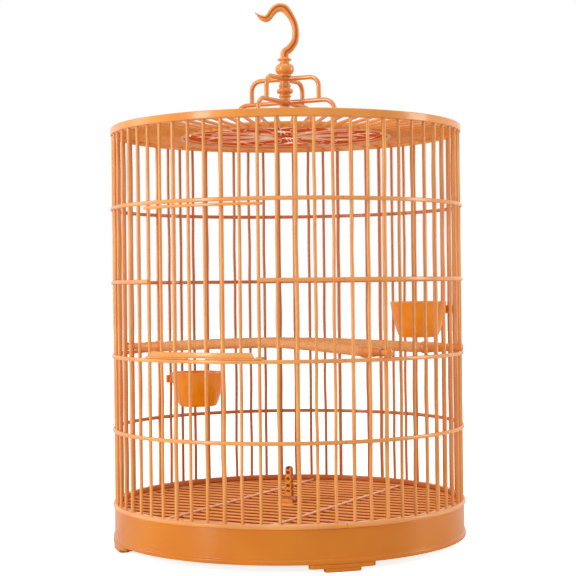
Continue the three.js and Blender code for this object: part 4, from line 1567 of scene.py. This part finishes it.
@dataclass
class Hanger:
    """The four two-tiered legs, the turned spindle, and the hook with its beads, darker strip of painted
    shade and cap nut.

    A peg is given by the radius and the height over the rosette of each of its corners.
    """

    layout: Layout
    workshop: Workshop
    rod_width: float = 4.4 * MM
    foot_radius: float = 53 * MM
    shoulder_radius: float = 36.5 * MM
    low_height: float = 30.4 * MM
    high_height: float = 53 * MM
    low_bend: float = 11 * MM
    high_bend: float = 9.5 * MM
    low_start: float = 6.6 * MM
    high_start: float = 6 * MM
    leg_sides: int = 20
    pad_width: float = 7.2 * MM
    pad_height: float = 1.6 * MM
    pad_crown: float = 0.3 * MM
    pad_edge: float = 0.5 * MM
    peg: tuple[Point2, ...] = (
        (0.0, -6 * MM),
        (2.2 * MM, -5.3 * MM),
        (2.4 * MM, -3.4 * MM),
        (1.5 * MM, -3.3 * MM),
        (1.5 * MM, 0.0),
    )
    peg_steps: int = 32
    waist: float = 10 * MM
    waist_edge: float = 0.8 * MM
    bead_width: float = 18.6 * MM
    bead_height: float = 18.5 * MM
    bead_edge: float = 1.4 * MM
    pin_radius: float = 2 * MM
    hook_turn: float = 28.1
    hook_reach: float = 28 * MM
    hook_rise: float = 49 * MM
    hook_radius: float = 4.1 * MM
    hook_sides: int = 40
    groove: float = 0.14
    shade_strip_half: float = 0.32
    shade_strip_offset: float = 0.14
    shade_strip_proud: float = 0.03
    nut_bore: float = 2.3 * MM
    nut_cap: float = 1.2 * MM
    nut_edge: float = 0.6 * MM
    fit: float = 0.3 * MM

    def make(self) -> None:
        """Builds the legs, spindle, hook and nut."""
        self.make_legs()
        self.make_spindle()
        self.make_hook()
        self.make_nut()

    def make_legs(self) -> None:
        """Bends each leg's two arms and stands it on its pad."""
        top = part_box("roof_rosette")[1].z
        low_z = top + self.low_height
        high_z = top + self.high_height
        for k, side in enumerate(SIDES):
            beta = k * self.layout.span
            draft = Draft()
            high = self._bent(beta, self.high_start, self.shoulder_radius, high_z, low_z, self.high_bend)
            foot_z = top + self.pad_height / 2
            low = self._bent(beta, self.low_start, self.foot_radius, low_z, foot_z, self.low_bend)
            across = polar(beta + FULL_TURN / 4, 1.0, 0.0)
            for line in (high, low):
                draft.rod(line, [self.rod_width / 2] * len(line), self.leg_sides, normal=across)
            pad = eased(
                [
                    *((radius, top + height) for radius, height in self.peg),
                    (self.pad_width / 2, top),
                    (self.pad_width / 2, top + self.pad_height),
                    (0.0, top + self.pad_height + self.pad_crown),
                ],
                self.pad_edge,
            )
            draft.turn(pad, self.peg_steps, Matrix.Translation(polar(beta, self.foot_radius, 0.0)))
            self.workshop.finish_piece(draft, f"leg_{side}", LEG_FINISH, Body.CAGE, f"hanger_leg_{side}")

    @staticmethod
    def _bent(
        beta: float, start: float, end: float, arm_z: float, foot_z: float, bend: float
    ) -> list[Vector]:
        """Gives the line of an arm that runs out level, bends and drops.

        Args:
            beta: The arm's angle.
            start: Its inner radius.
            end: Its outer radius.
            arm_z: Its height.
            foot_z: Where it ends.
            bend: Radius of the bend.

        Returns:
            The centre line.
        """
        line = [polar(beta, start, arm_z), polar(beta, (start + end - bend) / 2, arm_z)]
        steps = 14
        for i in range(steps + 1):
            angle = math.pi / 2 * (1 - i / steps)
            radius = end - bend + bend * math.cos(angle)
            line.append(polar(beta, radius, arm_z - bend + bend * math.sin(angle)))
        line.append(polar(beta, end, foot_z))
        return line

    def make_spindle(self) -> None:
        """Turns the spindle's beads and grooves."""
        low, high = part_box("hanger_spindle")
        height = high.z - low.z
        shares = [
            (0.24, 0.0),
            (0.52, 0.0),
            (0.7, 0.03),
            (0.7, 0.13),
            (0.5, 0.16),
            (0.49, 0.27),
            (0.6, 0.3),
            (0.6, 0.345),
            (0.5, 0.375),
            (0.5, 0.4),
            (0.76, 0.44),
            (0.8, 0.505),
            (0.74, 0.57),
            (0.5, 0.61),
            (0.5, 0.63),
            (0.6, 0.655),
            (0.6, 0.705),
            (0.5, 0.74),
            (0.5, 0.86),
            (0.62, 0.895),
            (0.62, 1.0),
            (0.24, 1.0),
        ]
        points = [(radius * self.waist, low.z + share * height) for radius, share in shares]
        draft = Draft()
        draft.turn(eased(points, self.waist_edge, closed=True), TURNED_STEPS)
        name, node = "turned_spindle", "hanger_spindle"
        self.workshop.finish_piece(draft, name, LEG_FINISH, Body.CAGE, node, ROUNDED_CRISP_ANGLE)

    def make_hook(self) -> None:
        """Turns the swivel's beads, bends the tapered rod above them and lays the darker strip of painted
        shade in its grooves.
        """
        low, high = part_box("hook")
        pin_z = low.z
        collar_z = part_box("hanger_spindle")[1].z + self.fit
        shares = [
            (0.67, 0.0),
            (0.69, 0.07),
            (0.6, 0.12),
            (0.8, 0.16),
            (0.97, 0.27),
            (1.0, 0.4),
            (0.95, 0.54),
            (0.76, 0.64),
            (0.5, 0.7),
            (0.47, 0.76),
            (0.49, 0.81),
            (0.7, 0.85),
            (0.75, 0.895),
            (0.7, 0.94),
            (0.46, 0.97),
            (0.4, 1.02),
        ]
        pin = self.pin_radius
        points: list[Point2] = [(0.0, pin_z), (pin, pin_z), (pin, collar_z)]
        points += [(r * self.bead_width / 2, collar_z + s * self.bead_height) for r, s in shares]
        points.append((0.0, points[-1][1]))
        turn = Matrix.Rotation(math.radians(self.hook_turn), 3, "Z")
        crisp = ROUNDED_CRISP_ANGLE
        foot = Draft()
        foot.turn(eased(points, self.bead_edge, steps=5), TURNED_STEPS)
        foot.rotate(turn)
        self.workshop.finish_piece(foot, "swivel_beads", HOOK_FINISH, Body.HOOK, "hook", crisp)
        draft = Draft()
        line = self._hook_line(collar_z + self.bead_height)
        path = [Vector((point[0], 0.0, point[1])) for point in line]
        radii = [point[2] for point in line]
        draft.rod(path, radii, self.hook_sides, normal=Vector((0.0, 1.0, 0.0)), groove=self.groove)
        draft.rotate(turn)
        piece = self.workshop.finish_piece(draft, "swivel_hook", HOOK_FINISH, Body.HOOK, "hook", crisp)
        # Painted shade: a darker strip along the hook's grooves.
        self._shade_strip(line, turn)
        reach = max(v.co.z for v in piece.data.vertices)
        LOG.info("hook reaches %.1f mm of %.1f mm", reach / MM, high.z / MM)

    def _shade_strip(self, line: Sequence[Vector], turn: Matrix) -> None:
        """Lays the darker strip along the grooves on the hook's two faces, painted shade where those faces
        fall dark.

        Args:
            line: The hook's centre line as (across, height, radius).
            turn: How the hook is turned.
        """
        draft = Draft()
        rings = []
        for before, point, after in zip(line, line[1:], line[2:]):
            radius = point[2]
            along = Vector((after[0] - before[0], 0.0, after[1] - before[1])).normalized()
            across = Vector((along.z, 0.0, -along.x))
            middle = Vector((point[0], 0.0, point[1])) + across * radius * self.shade_strip_offset
            wide = 2 * radius * self.shade_strip_half
            deep = 2 * radius * (1 + self.shade_strip_proud - self.groove)
            section = rounded_box(wide, deep, wide / 4, 2)
            rings.append([turn @ (middle + across * u + Vector((0.0, v, 0.0))) for u, v in section])
        draft.loft(rings)
        crisp = ROUNDED_CRISP_ANGLE
        self.workshop.finish_piece(draft, "hook_shade_strip", HOOK_SHADE_FINISH, Body.HOOK, "hook", crisp)

    def _hook_line(self, neck_z: float) -> list[Vector]:
        """Gives the hook's smooth centre line as (across, height, radius).

        Args:
            neck_z: Height where the rod leaves the beads.

        Returns:
            The line's points.
        """
        shares = [
            (0.0, -0.04, 1.0),
            (0.02, 0.1, 0.98),
            (0.17, 0.17, 0.93),
            (0.33, 0.29, 0.88),
            (0.385, 0.4, 0.85),
            (0.39, 0.54, 0.83),
            (0.345, 0.67, 0.81),
            (0.26, 0.78, 0.83),
            (0.15, 0.88, 0.91),
            (0.02, 0.965, 1.0),
            (-0.14, 0.99, 1.02),
            (-0.3, 0.955, 0.96),
            (-0.42, 0.885, 0.89),
            (-0.515, 0.81, 0.86),
            (-0.62, 0.77, 0.83),
            (-0.755, 0.785, 0.66),
            (-0.89, 0.835, 0.34),
            (-1.0, 0.895, 0.06),
        ]
        reach, rise, thick = self.hook_reach, self.hook_rise, self.hook_radius
        knots = [(across * reach, neck_z + up * rise, radius * thick) for across, up, radius in shares]
        return smooth_line(knots, per_span=6)

    def make_nut(self) -> None:
        """Turns the cap nut under the spindle."""
        low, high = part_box("hook_nut")
        width = high.x - low.x
        cap_z = low.z + self.nut_cap
        points = [
            (0.0, low.z),
            (width / 3, low.z),
            (width / 2, cap_z),
            (width / 2, high.z),
            (self.nut_bore, high.z),
            (self.nut_bore, cap_z),
            (0.0, cap_z),
        ]
        draft = Draft()
        draft.turn(eased(points, self.nut_edge), SMALL_STEPS)
        self.workshop.finish_piece(draft, "cap_nut", LEG_FINISH, Body.HOOK, "hook_nut")


@dataclass
class Cup:
    """A round seed cup on a lug that grips two bars.

    The bowl's outline is given in shares of the mouth's radius and of the cup's height.
    """

    layout: Layout
    workshop: Workshop
    body: Body
    beta: float
    mouth: float = 27.6 * MM
    wall: float = 1.8 * MM
    bowl_shares: tuple[Point2, ...] = (
        (0.58, 0.0),
        (0.67, 0.02),
        (0.735, 0.1),
        (0.82, 0.3),
        (0.905, 0.57),
        (0.965, 0.83),
        (1.0, 1.0),
    )
    bowl_steps: int = 96
    bowl_edge: float = 0.5 * MM
    dimple_height: float = 0.5 * MM
    dimple_shares: Point2 = (0.4, 0.5)
    foot_points: int = 4
    stand_off: float = 34 * MM
    lug_drop: float = 4 * MM
    lug_height: float = 8 * MM
    lug_plate: float = 1.8 * MM
    lug_edge: float = 0.5 * MM
    cross_width: float = 22 * MM
    grip_width: float = 19 * MM
    grip_gap: float = 0.2 * MM
    stem_width: float = 4 * MM
    stem_share: float = 0.93
    bar_fit: float = 1.75 * MM

    def make(self) -> None:
        """Builds the bowl and its lug."""
        low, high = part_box(self.body.value)
        draft = Draft()
        height = high.z - low.z
        knots = [(radius * self.mouth, low.z + share * height) for radius, share in self.bowl_shares]
        outer = smooth_line(knots, per_span=5)
        floor_z = low.z + self.wall
        upper = reversed(outer[self.foot_points :])
        inner = [(max(p[0] - self.wall, 0.0), max(p[1], floor_z)) for p in upper]
        dimple_z = low.z + self.dimple_height
        dimple, foot = (share * self.mouth for share in self.dimple_shares)
        profile: list[Point2] = [(0.0, dimple_z), (dimple, dimple_z), (foot, low.z)]
        profile += [(p[0], p[1]) for p in outer]
        profile += [*inner, (0.0, floor_z)]
        centre = polar(0.0, self.layout.bar_circle - self.stand_off, 0.0)
        draft.turn(eased(profile, self.bowl_edge, steps=2), self.bowl_steps, Matrix.Translation(centre))
        self._lug(draft, high.z - self.lug_drop)
        turn = Matrix.Rotation(math.radians(self.beta), 3, "Z")
        draft.rotate(turn)
        name = f"seed_{self.body.value}"
        self.workshop.finish_piece(draft, name, CUP_FINISH, self.body, self.body.value)

    def _lug(self, draft: Draft, top: float) -> None:
        """Adds the stem and the plates inside and outside the bars.

        Args:
            draft: The cup's draft.
            top: The lug's top height.
        """
        low = top - self.lug_height
        circle = self.layout.bar_circle
        cross_in = circle + self.bar_fit
        cross_out = cross_in + self.lug_plate
        bowl_out = circle - self.stand_off + self.mouth * self.stem_share
        grip_out = circle - self.bar_fit - self.grip_gap
        edge = self.lug_edge
        stem = self.stem_width / 2
        draft.block(Vector((-stem, -cross_out + edge, low)), Vector((stem, -bowl_out, top)), edge)
        cross = self.cross_width / 2
        draft.block(Vector((-cross, -cross_out, low)), Vector((cross, -cross_in, top)), edge)
        grip = self.grip_width / 2
        draft.block(Vector((-grip, -grip_out, low)), Vector((grip, -grip_out + self.lug_plate, top)), edge)


@dataclass
class Perch:
    """The forked sanded branch and its three holders."""

    layout: Layout
    workshop: Workshop
    left_beta: float = -81.5625
    right_beta: float = 98.4375
    front_beta: float = 59.0625
    fork_place: float = 26.5 * MM
    branch_radius: float = 5 * MM
    fork_radius: float = 4.6 * MM
    fork_swell: float = 0.12
    fork_swell_share: float = 1 / 6
    branch_sides: int = 28
    lump_share: float = 0.008
    lump_turns: tuple[float, ...] = (9, 23, 47)
    end_ease: float = 0.12
    end_steps: float = 1.5
    arch: float = 4.2 * MM
    end_z: float = 185.4 * MM
    holder_length: float = 31 * MM
    holder_radius: float = 5.7 * MM
    holder_edge: float = 0.9 * MM
    tip_radius: float = 3.5 * MM
    tip_sink: float = 0.6 * MM
    socket_mouth: float = 3.6 * MM
    socket_end: float = 3.5 * MM
    socket_depth: float = 9.3 * MM
    knob_radius: float = 4.1 * MM
    knob_depth: float = 1.6 * MM
    knob_steps: int = 36
    prong_gap: float = 0.35 * MM
    prong_width: float = 1.7 * MM
    prong_height: float = 4.2 * MM
    prong_lap: float = 2 * MM
    prong_edge: float = 0.5 * MM
    ring_out: float = 3 * MM
    fit: float = 0.3 * MM
    dice: random.Random = field(default_factory=lambda: random.Random(BRANCH_SEED))

    def make(self) -> None:
        """Builds the branch and the holders."""
        left = self._end(self.left_beta)
        right = self._end(self.right_beta)
        front = self._end(self.front_beta)
        fork = polar(self.left_beta, self.fork_place, self.end_z)
        self.make_branch(left, right, front, fork)
        self.make_holder("left", right, self.left_beta)
        self.make_holder("right", left, self.right_beta)
        self.make_holder("front", fork, self.front_beta)

    def _end(self, beta: float) -> Vector:
        """Gives the place on a post where a holder clips."""
        return polar(beta, self.layout.bar_circle, self.end_z)

    def make_branch(self, left: Vector, right: Vector, front: Vector, fork: Vector) -> None:
        """Sweeps the arched branch and the fork that leaves it.

        Args:
            left: Left post.
            right: Right post.
            front: Front post.
            fork: Where the fork leaves the branch.
        """
        back = self.holder_length + self.layout.post_width / 2 + self.fit
        along = (right - left).normalized()
        start = left + along * back
        end = right - along * back
        draft = Draft()
        steps = 90
        path = []
        for i in range(steps + 1):
            share = i / steps
            point = start.lerp(end, share)
            point.z += self.arch * math.sin(math.pi * share)
            path.append(point)
        draft.rod(path, self._lumpy(self.branch_radius, steps), self.branch_sides)
        tip = front + (fork - front).normalized() * back
        path = []
        for i in range(steps + 1):
            share = i / steps
            point = fork.lerp(tip, share)
            point.z += self.arch * math.cos(math.pi * share / 2)
            path.append(point)
        swollen = self.fork_swell_share * steps
        radii = []
        for i, radius in enumerate(self._lumpy(self.fork_radius, steps)):
            radii.append(radius * (1 + self.fork_swell * max(0.0, 1 - i / swollen)))
        draft.rod(path, radii, self.branch_sides)
        name, node = "forked_branch", "perch_branch"
        self.workshop.finish_piece(draft, name, PERCH_FINISH, Body.CAGE, node, ROUNDED_CRISP_ANGLE)

    def _lumpy(self, radius: float, steps: int) -> list[float]:
        """Gives gently uneven radii along a branch, with eased ends.

        Args:
            radius: The branch's middle radius.
            steps: How many stretches it has.

        Returns:
            A radius for each point.
        """
        phases = [self.dice.uniform(0, 2 * math.pi) for _ in self.lump_turns]
        radii = []
        for i in range(steps + 1):
            share = i / steps
            wave = sum(math.sin(share * turns + phase) for turns, phase in zip(self.lump_turns, phases))
            edge = min(share, 1 - share) * steps
            ease = 1 - self.end_ease * max(0.0, 1 - edge / self.end_steps)
            radii.append(radius * (1 + self.lump_share * wave) * ease)
        return radii

    def make_holder(self, side: str, inward: Vector, beta: float) -> None:
        """Turns a holder's barrel and forks it round its post.

        Args:
            side: The holder's name.
            inward: The far point that the holder faces.
            beta: Its post's angle.
        """
        post = self._end(beta)
        along = Vector((inward.x - post.x, inward.y - post.y, 0.0)).normalized()
        side_way = UP.cross(along)
        place = Matrix.Identity(4)
        place.col[0][:3] = side_way
        place.col[1][:3] = -UP
        place.col[2][:3] = along
        place.translation = post
        half_post = self.layout.post_width / 2
        far = half_post + self.holder_length
        near = half_post + 2 * self.fit
        length = far - near
        barrel = [
            (0.0, near + self.tip_sink),
            (self.tip_radius, near),
            (self.tip_radius * 1.04, near + length * 0.2),
            (self.holder_radius * 0.8, near + length * 0.45),
            (self.holder_radius * 0.86, near + length * 0.72),
            (self.holder_radius * 0.9, near + length * 0.77),
            (self.holder_radius, near + length * 0.8),
            (self.holder_radius, near + length * 0.93),
            (self.holder_radius * 0.92, far),
            (self.socket_mouth, far),
            (self.socket_end, far - self.socket_depth),
            (0.0, far - self.socket_depth),
        ]
        draft = Draft()
        draft.turn(eased(barrel, self.holder_edge), SMALL_STEPS, place)
        knob_z = -(self.ring_out + 2 * self.fit)
        ball = []
        steps = 14
        for i in range(steps + 1):
            angle = math.pi * i / steps
            reach = self.knob_depth * (1 - math.cos(angle))
            ball.append((self.knob_radius * math.sin(angle), knob_z - reach))
        draft.turn(ball, self.knob_steps, place)
        prong = half_post + self.prong_gap
        half_height = self.prong_height / 2
        for left in (-prong - self.prong_width, prong):
            low = Vector((left, -half_height, knob_z - self.prong_lap))
            high = Vector((left + self.prong_width, half_height, near + self.prong_lap))
            draft.block(low, high, self.prong_edge, place)
        name, node = f"perch_clip_{side}", f"perch_holder_{side}"
        self.workshop.finish_piece(draft, name, HOLDER_FINISH, Body.CAGE, node, MIXED_CRISP_ANGLE)


@dataclass
class GreensHolder:
    """The notched amber tower on its wedge foot.

    Each notch is given by its middle and its reach, both as shares of the tower's height.
    """

    workshop: Workshop
    width: float = 8.4 * MM
    depth: float = 5.4 * MM
    tower_height: float = 29 * MM
    tower_lap: float = 0.3 * MM
    foot: tuple[float, float, float] = (13 * MM, 11 * MM, 6.5 * MM)
    foot_edge: float = 0.5 * MM
    foot_corner: float = 0.6 * MM
    corner_power: float = 0.55
    slim_share: float = 0.3
    notch_share: float = 0.2
    notch_depth: float = 0.9
    notches: tuple[Point2, ...] = ((0.17, 0.028), (0.35, 0.05), (0.57, 0.05), (0.78, 0.05), (0.93, 0.045))
    cap_share: float = 0.9
    cap_width: float = 0.86
    taper: float = 0.14
    pinch: float = 0.16
    pinched: Point2 = (0.15, 0.78)
    waist_share: float = 0.235
    waist_pitch: float = 0.222
    waist_power: int = 6

    def make(self) -> None:
        """Builds the tower and its foot."""
        base_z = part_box("greens_holder")[0].z
        foot_x, foot_y, foot_z = self.foot
        draft = Draft()
        wedge = [
            (-foot_y / 2, base_z),
            (foot_y / 2, base_z),
            (self.depth / 2, base_z + foot_z),
            (-self.depth / 2, base_z + foot_z),
            (-foot_y / 2, base_z + foot_z / 2),
        ]
        outline = eased(wedge, self.foot_corner, 3, closed=True)
        end = foot_x / 2
        edge = end - self.foot_edge
        middle = Vector((0.0, base_z + foot_z / 2))
        rings = []
        for x, inset in ((-end, self.foot_edge), (-edge, 0.0), (edge, 0.0), (end, self.foot_edge)):
            ring = []
            for y, z in outline:
                pull = (middle - Vector((y, z))).normalized() * inset
                ring.append(Vector((x, y + pull.x, z + pull.y)))
            rings.append(ring)
        draft.loft(rings)
        self._tower(draft, base_z + foot_z - self.tower_lap)
        name, node = "greens_tower", "greens_holder"
        self.workshop.finish_piece(draft, name, AMBER_FINISH, Body.CAGE, node, MIXED_CRISP_ANGLE)

    def _tower(self, draft: Draft, low: float) -> None:
        """Lofts the lobed tower with a notch sunk in the middle of each lobe.

        Args:
            draft: The holder's draft.
            low: The tower's foot.
        """
        steps = 120
        sides = 48
        rings = []
        for i in range(steps + 1):
            share = i / steps
            half = self._half_width(share)
            deep = self.depth / 2 * min(1.0, half / (self.width * self.slim_share))
            sink = self._notch(share)
            ring = []
            for k in range(sides):
                angle = 2 * math.pi * k / sides
                x = half * math.copysign(abs(math.cos(angle)) ** self.corner_power, math.cos(angle))
                y = deep * math.copysign(abs(math.sin(angle)) ** self.corner_power, math.sin(angle))
                near = max(0.0, 1 - (x / (self.width * self.notch_share)) ** 2)
                y *= 1 - self.notch_depth * sink * near
                ring.append(Vector((x, y, low + share * self.tower_height)))
            rings.append(ring)
        draft.loft(rings)

    def _half_width(self, share: float) -> float:
        """Gives the tower's half width at a share of its height.

        Args:
            share: Height above its foot, 0 to 1.

        Returns:
            Half its width.
        """
        if share > self.cap_share:
            rise = (share - self.cap_share) / (1 - self.cap_share)
            return self.width / 2 * self.cap_width * math.sqrt(max(0.002, 1 - rise**2))
        waist = 0.5 + 0.5 * math.cos(2 * math.pi * (share - self.waist_share) / self.waist_pitch)
        low, high = self.pinched
        pinch = self.pinch * waist**self.waist_power if low < share < high else 0.0
        return self.width / 2 * (1 - pinch) * (1 - self.taper * share)

    def _notch(self, share: float) -> float:
        """Gives how far the notch is sunk at a share of the height.

        Args:
            share: Height above the tower's foot, 0 to 1.

        Returns:
            0 on the plain face and 1 at a notch's deepest.
        """
        depth = 0.0
        for centre, reach in self.notches:
            depth = max(depth, 1 - ((share - centre) / reach) ** 2)
        return max(0.0, depth) ** 0.5


@dataclass(frozen=True)
class Lamp:
    """A soft rectangular lamp that faces the middle of the cage."""

    name: str
    beta: float
    radius: float
    height: float
    size: Point2
    watts: float
    aim_height: float = 0.26

    def hang(self) -> None:
        """Adds the lamp to the scene."""
        data = bpy.data.lights.new(self.name, "AREA")
        data.shape = "RECTANGLE"
        data.size, data.size_y = self.size
        data.energy = self.watts
        lamp = add_object(self.name, data)
        lamp.location = polar(self.beta, self.radius, self.height)
        aim = UP * self.aim_height - lamp.location
        lamp.rotation_euler = aim.to_track_quat("-Z", "Y").to_euler()


LAMPS = (
    Lamp("key_left", -24.0, 2.1, 0.75, (0.4, 1.5), 21.0),
    Lamp("side_left", -74.0, 2.0, 0.6, (0.6, 1.4), 5.0),
    Lamp("side_right", 118.0, 2.0, 0.6, (0.6, 1.4), 15.0),
    Lamp("top", 20.0, 0.2, 2.2, (1.2, 1.2), 14.0),
)


@dataclass
class Studio:
    """The floor, the white surroundings, the lamps and the camera."""

    distance: float = 1.386
    azimuth: float = 28.1
    eye_height: float = 0.242
    lens: float = 90.0
    sensor: float = 36.0
    roll: float = 0.65
    aim_right: float = 0.00087
    floor_size: float = 12.0
    floor_white: float = 0.9
    floor_roughness: float = 0.8
    floor_glow: float = 0.82
    ambient: float = 0.44

    def make(self) -> None:
        """Sets the whole studio up."""
        self.make_camera()
        self.make_world()
        self.make_floor()
        for lamp in LAMPS:
            lamp.hang()
        bpy.context.scene.view_settings.view_transform = "Standard"

    def make_camera(self) -> None:
        """Puts the camera where the picture was taken from."""
        data = bpy.data.cameras.new("studio_camera")
        data.lens = self.lens
        data.sensor_width = self.sensor
        camera = add_object("studio_camera", data)
        eye = polar(self.azimuth, self.distance, self.eye_height)
        forward = Vector((-eye.x, -eye.y, 0.0)).normalized()
        right = forward.cross(UP)
        forward = (forward * self.distance + right * self.aim_right).normalized()
        right = forward.cross(UP)
        lean = math.radians(self.roll)
        up = UP * math.cos(lean) + right * math.sin(lean)
        right = forward.cross(up)
        place = Matrix((right, up, -forward)).transposed().to_4x4()
        place.translation = eye
        camera.matrix_world = place
        bpy.context.scene.camera = camera

    def make_world(self) -> None:
        """Makes the surroundings white where seen or mirrored, and dimmer as light."""
        world = bpy.data.worlds.new("white_studio")
        bpy.context.scene.world = world
        world.use_nodes = True
        graph = Graph(world.node_tree)
        camera_ray = graph.add("ShaderNodeLightPath", output="Is Camera Ray")
        glossy_ray = graph.add("ShaderNodeLightPath", output="Is Glossy Ray")
        clear_ray = graph.add("ShaderNodeLightPath", output="Is Transmission Ray")
        seen = graph.masked(camera_ray + glossy_ray + clear_ray, 0.0, 1.0)
        colour = graph.blend(seen, (self.ambient,) * 3, (1.0,) * 3)
        light = graph.add("ShaderNodeBackground", {}, {"Color": colour, "Strength": 1.0})
        graph.add("ShaderNodeOutputWorld", {}, {"Surface": light})

    def make_floor(self) -> None:
        """Lays a white floor that keeps the cage's shadow."""
        half = self.floor_size / 2
        corners = [Vector((x * half, y * half, 0.0)) for x, y in ((-1, -1), (1, -1), (1, 1), (-1, 1))]
        mesh = bpy.data.meshes.new("studio_floor")
        mesh.from_pydata([tuple(c) for c in corners], [], [(0, 1, 2, 3)])
        floor = add_object("studio_floor", mesh)
        material, graph = start_material("white_floor")
        seen = graph.add("ShaderNodeLightPath", output="Is Camera Ray")
        shader = graph.add(
            "ShaderNodeBsdfPrincipled",
            {},
            {
                "Base Color": (self.floor_white,) * 3 + (1.0,),
                "Roughness": self.floor_roughness,
                "Emission Color": graph.blend(seen, (0.0,) * 3, (self.floor_glow,) * 3),
                "Emission Strength": 1.0,
            },
        )
        graph.add("ShaderNodeOutputMaterial", {}, {"Surface": shader})
        mesh.materials.append(material)


def main() -> None:
    """Loads the frame, builds every sub-assembly round it and notes the sizes."""
    logging.basicConfig(level=logging.INFO, format="%(name)s: %(message)s")
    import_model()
    layout = Layout.from_frame()
    workshop = Workshop()
    Studio().make()
    Base(layout, workshop).make()
    Wall(layout, workshop).make()
    Door(layout, workshop).make()
    Roof(layout, workshop).make()
    Hanger(layout, workshop).make()
    Cup(layout, workshop, Body.CUP_LEFT, CUP_LEFT_BETA).make()
    Cup(layout, workshop, Body.CUP_RIGHT, CUP_RIGHT_BETA).make()
    Perch(layout, workshop).make()
    GreensHolder(workshop).make()
    LOG.info("%d pieces made", workshop.made)


if __name__ == "__main__":
    main()
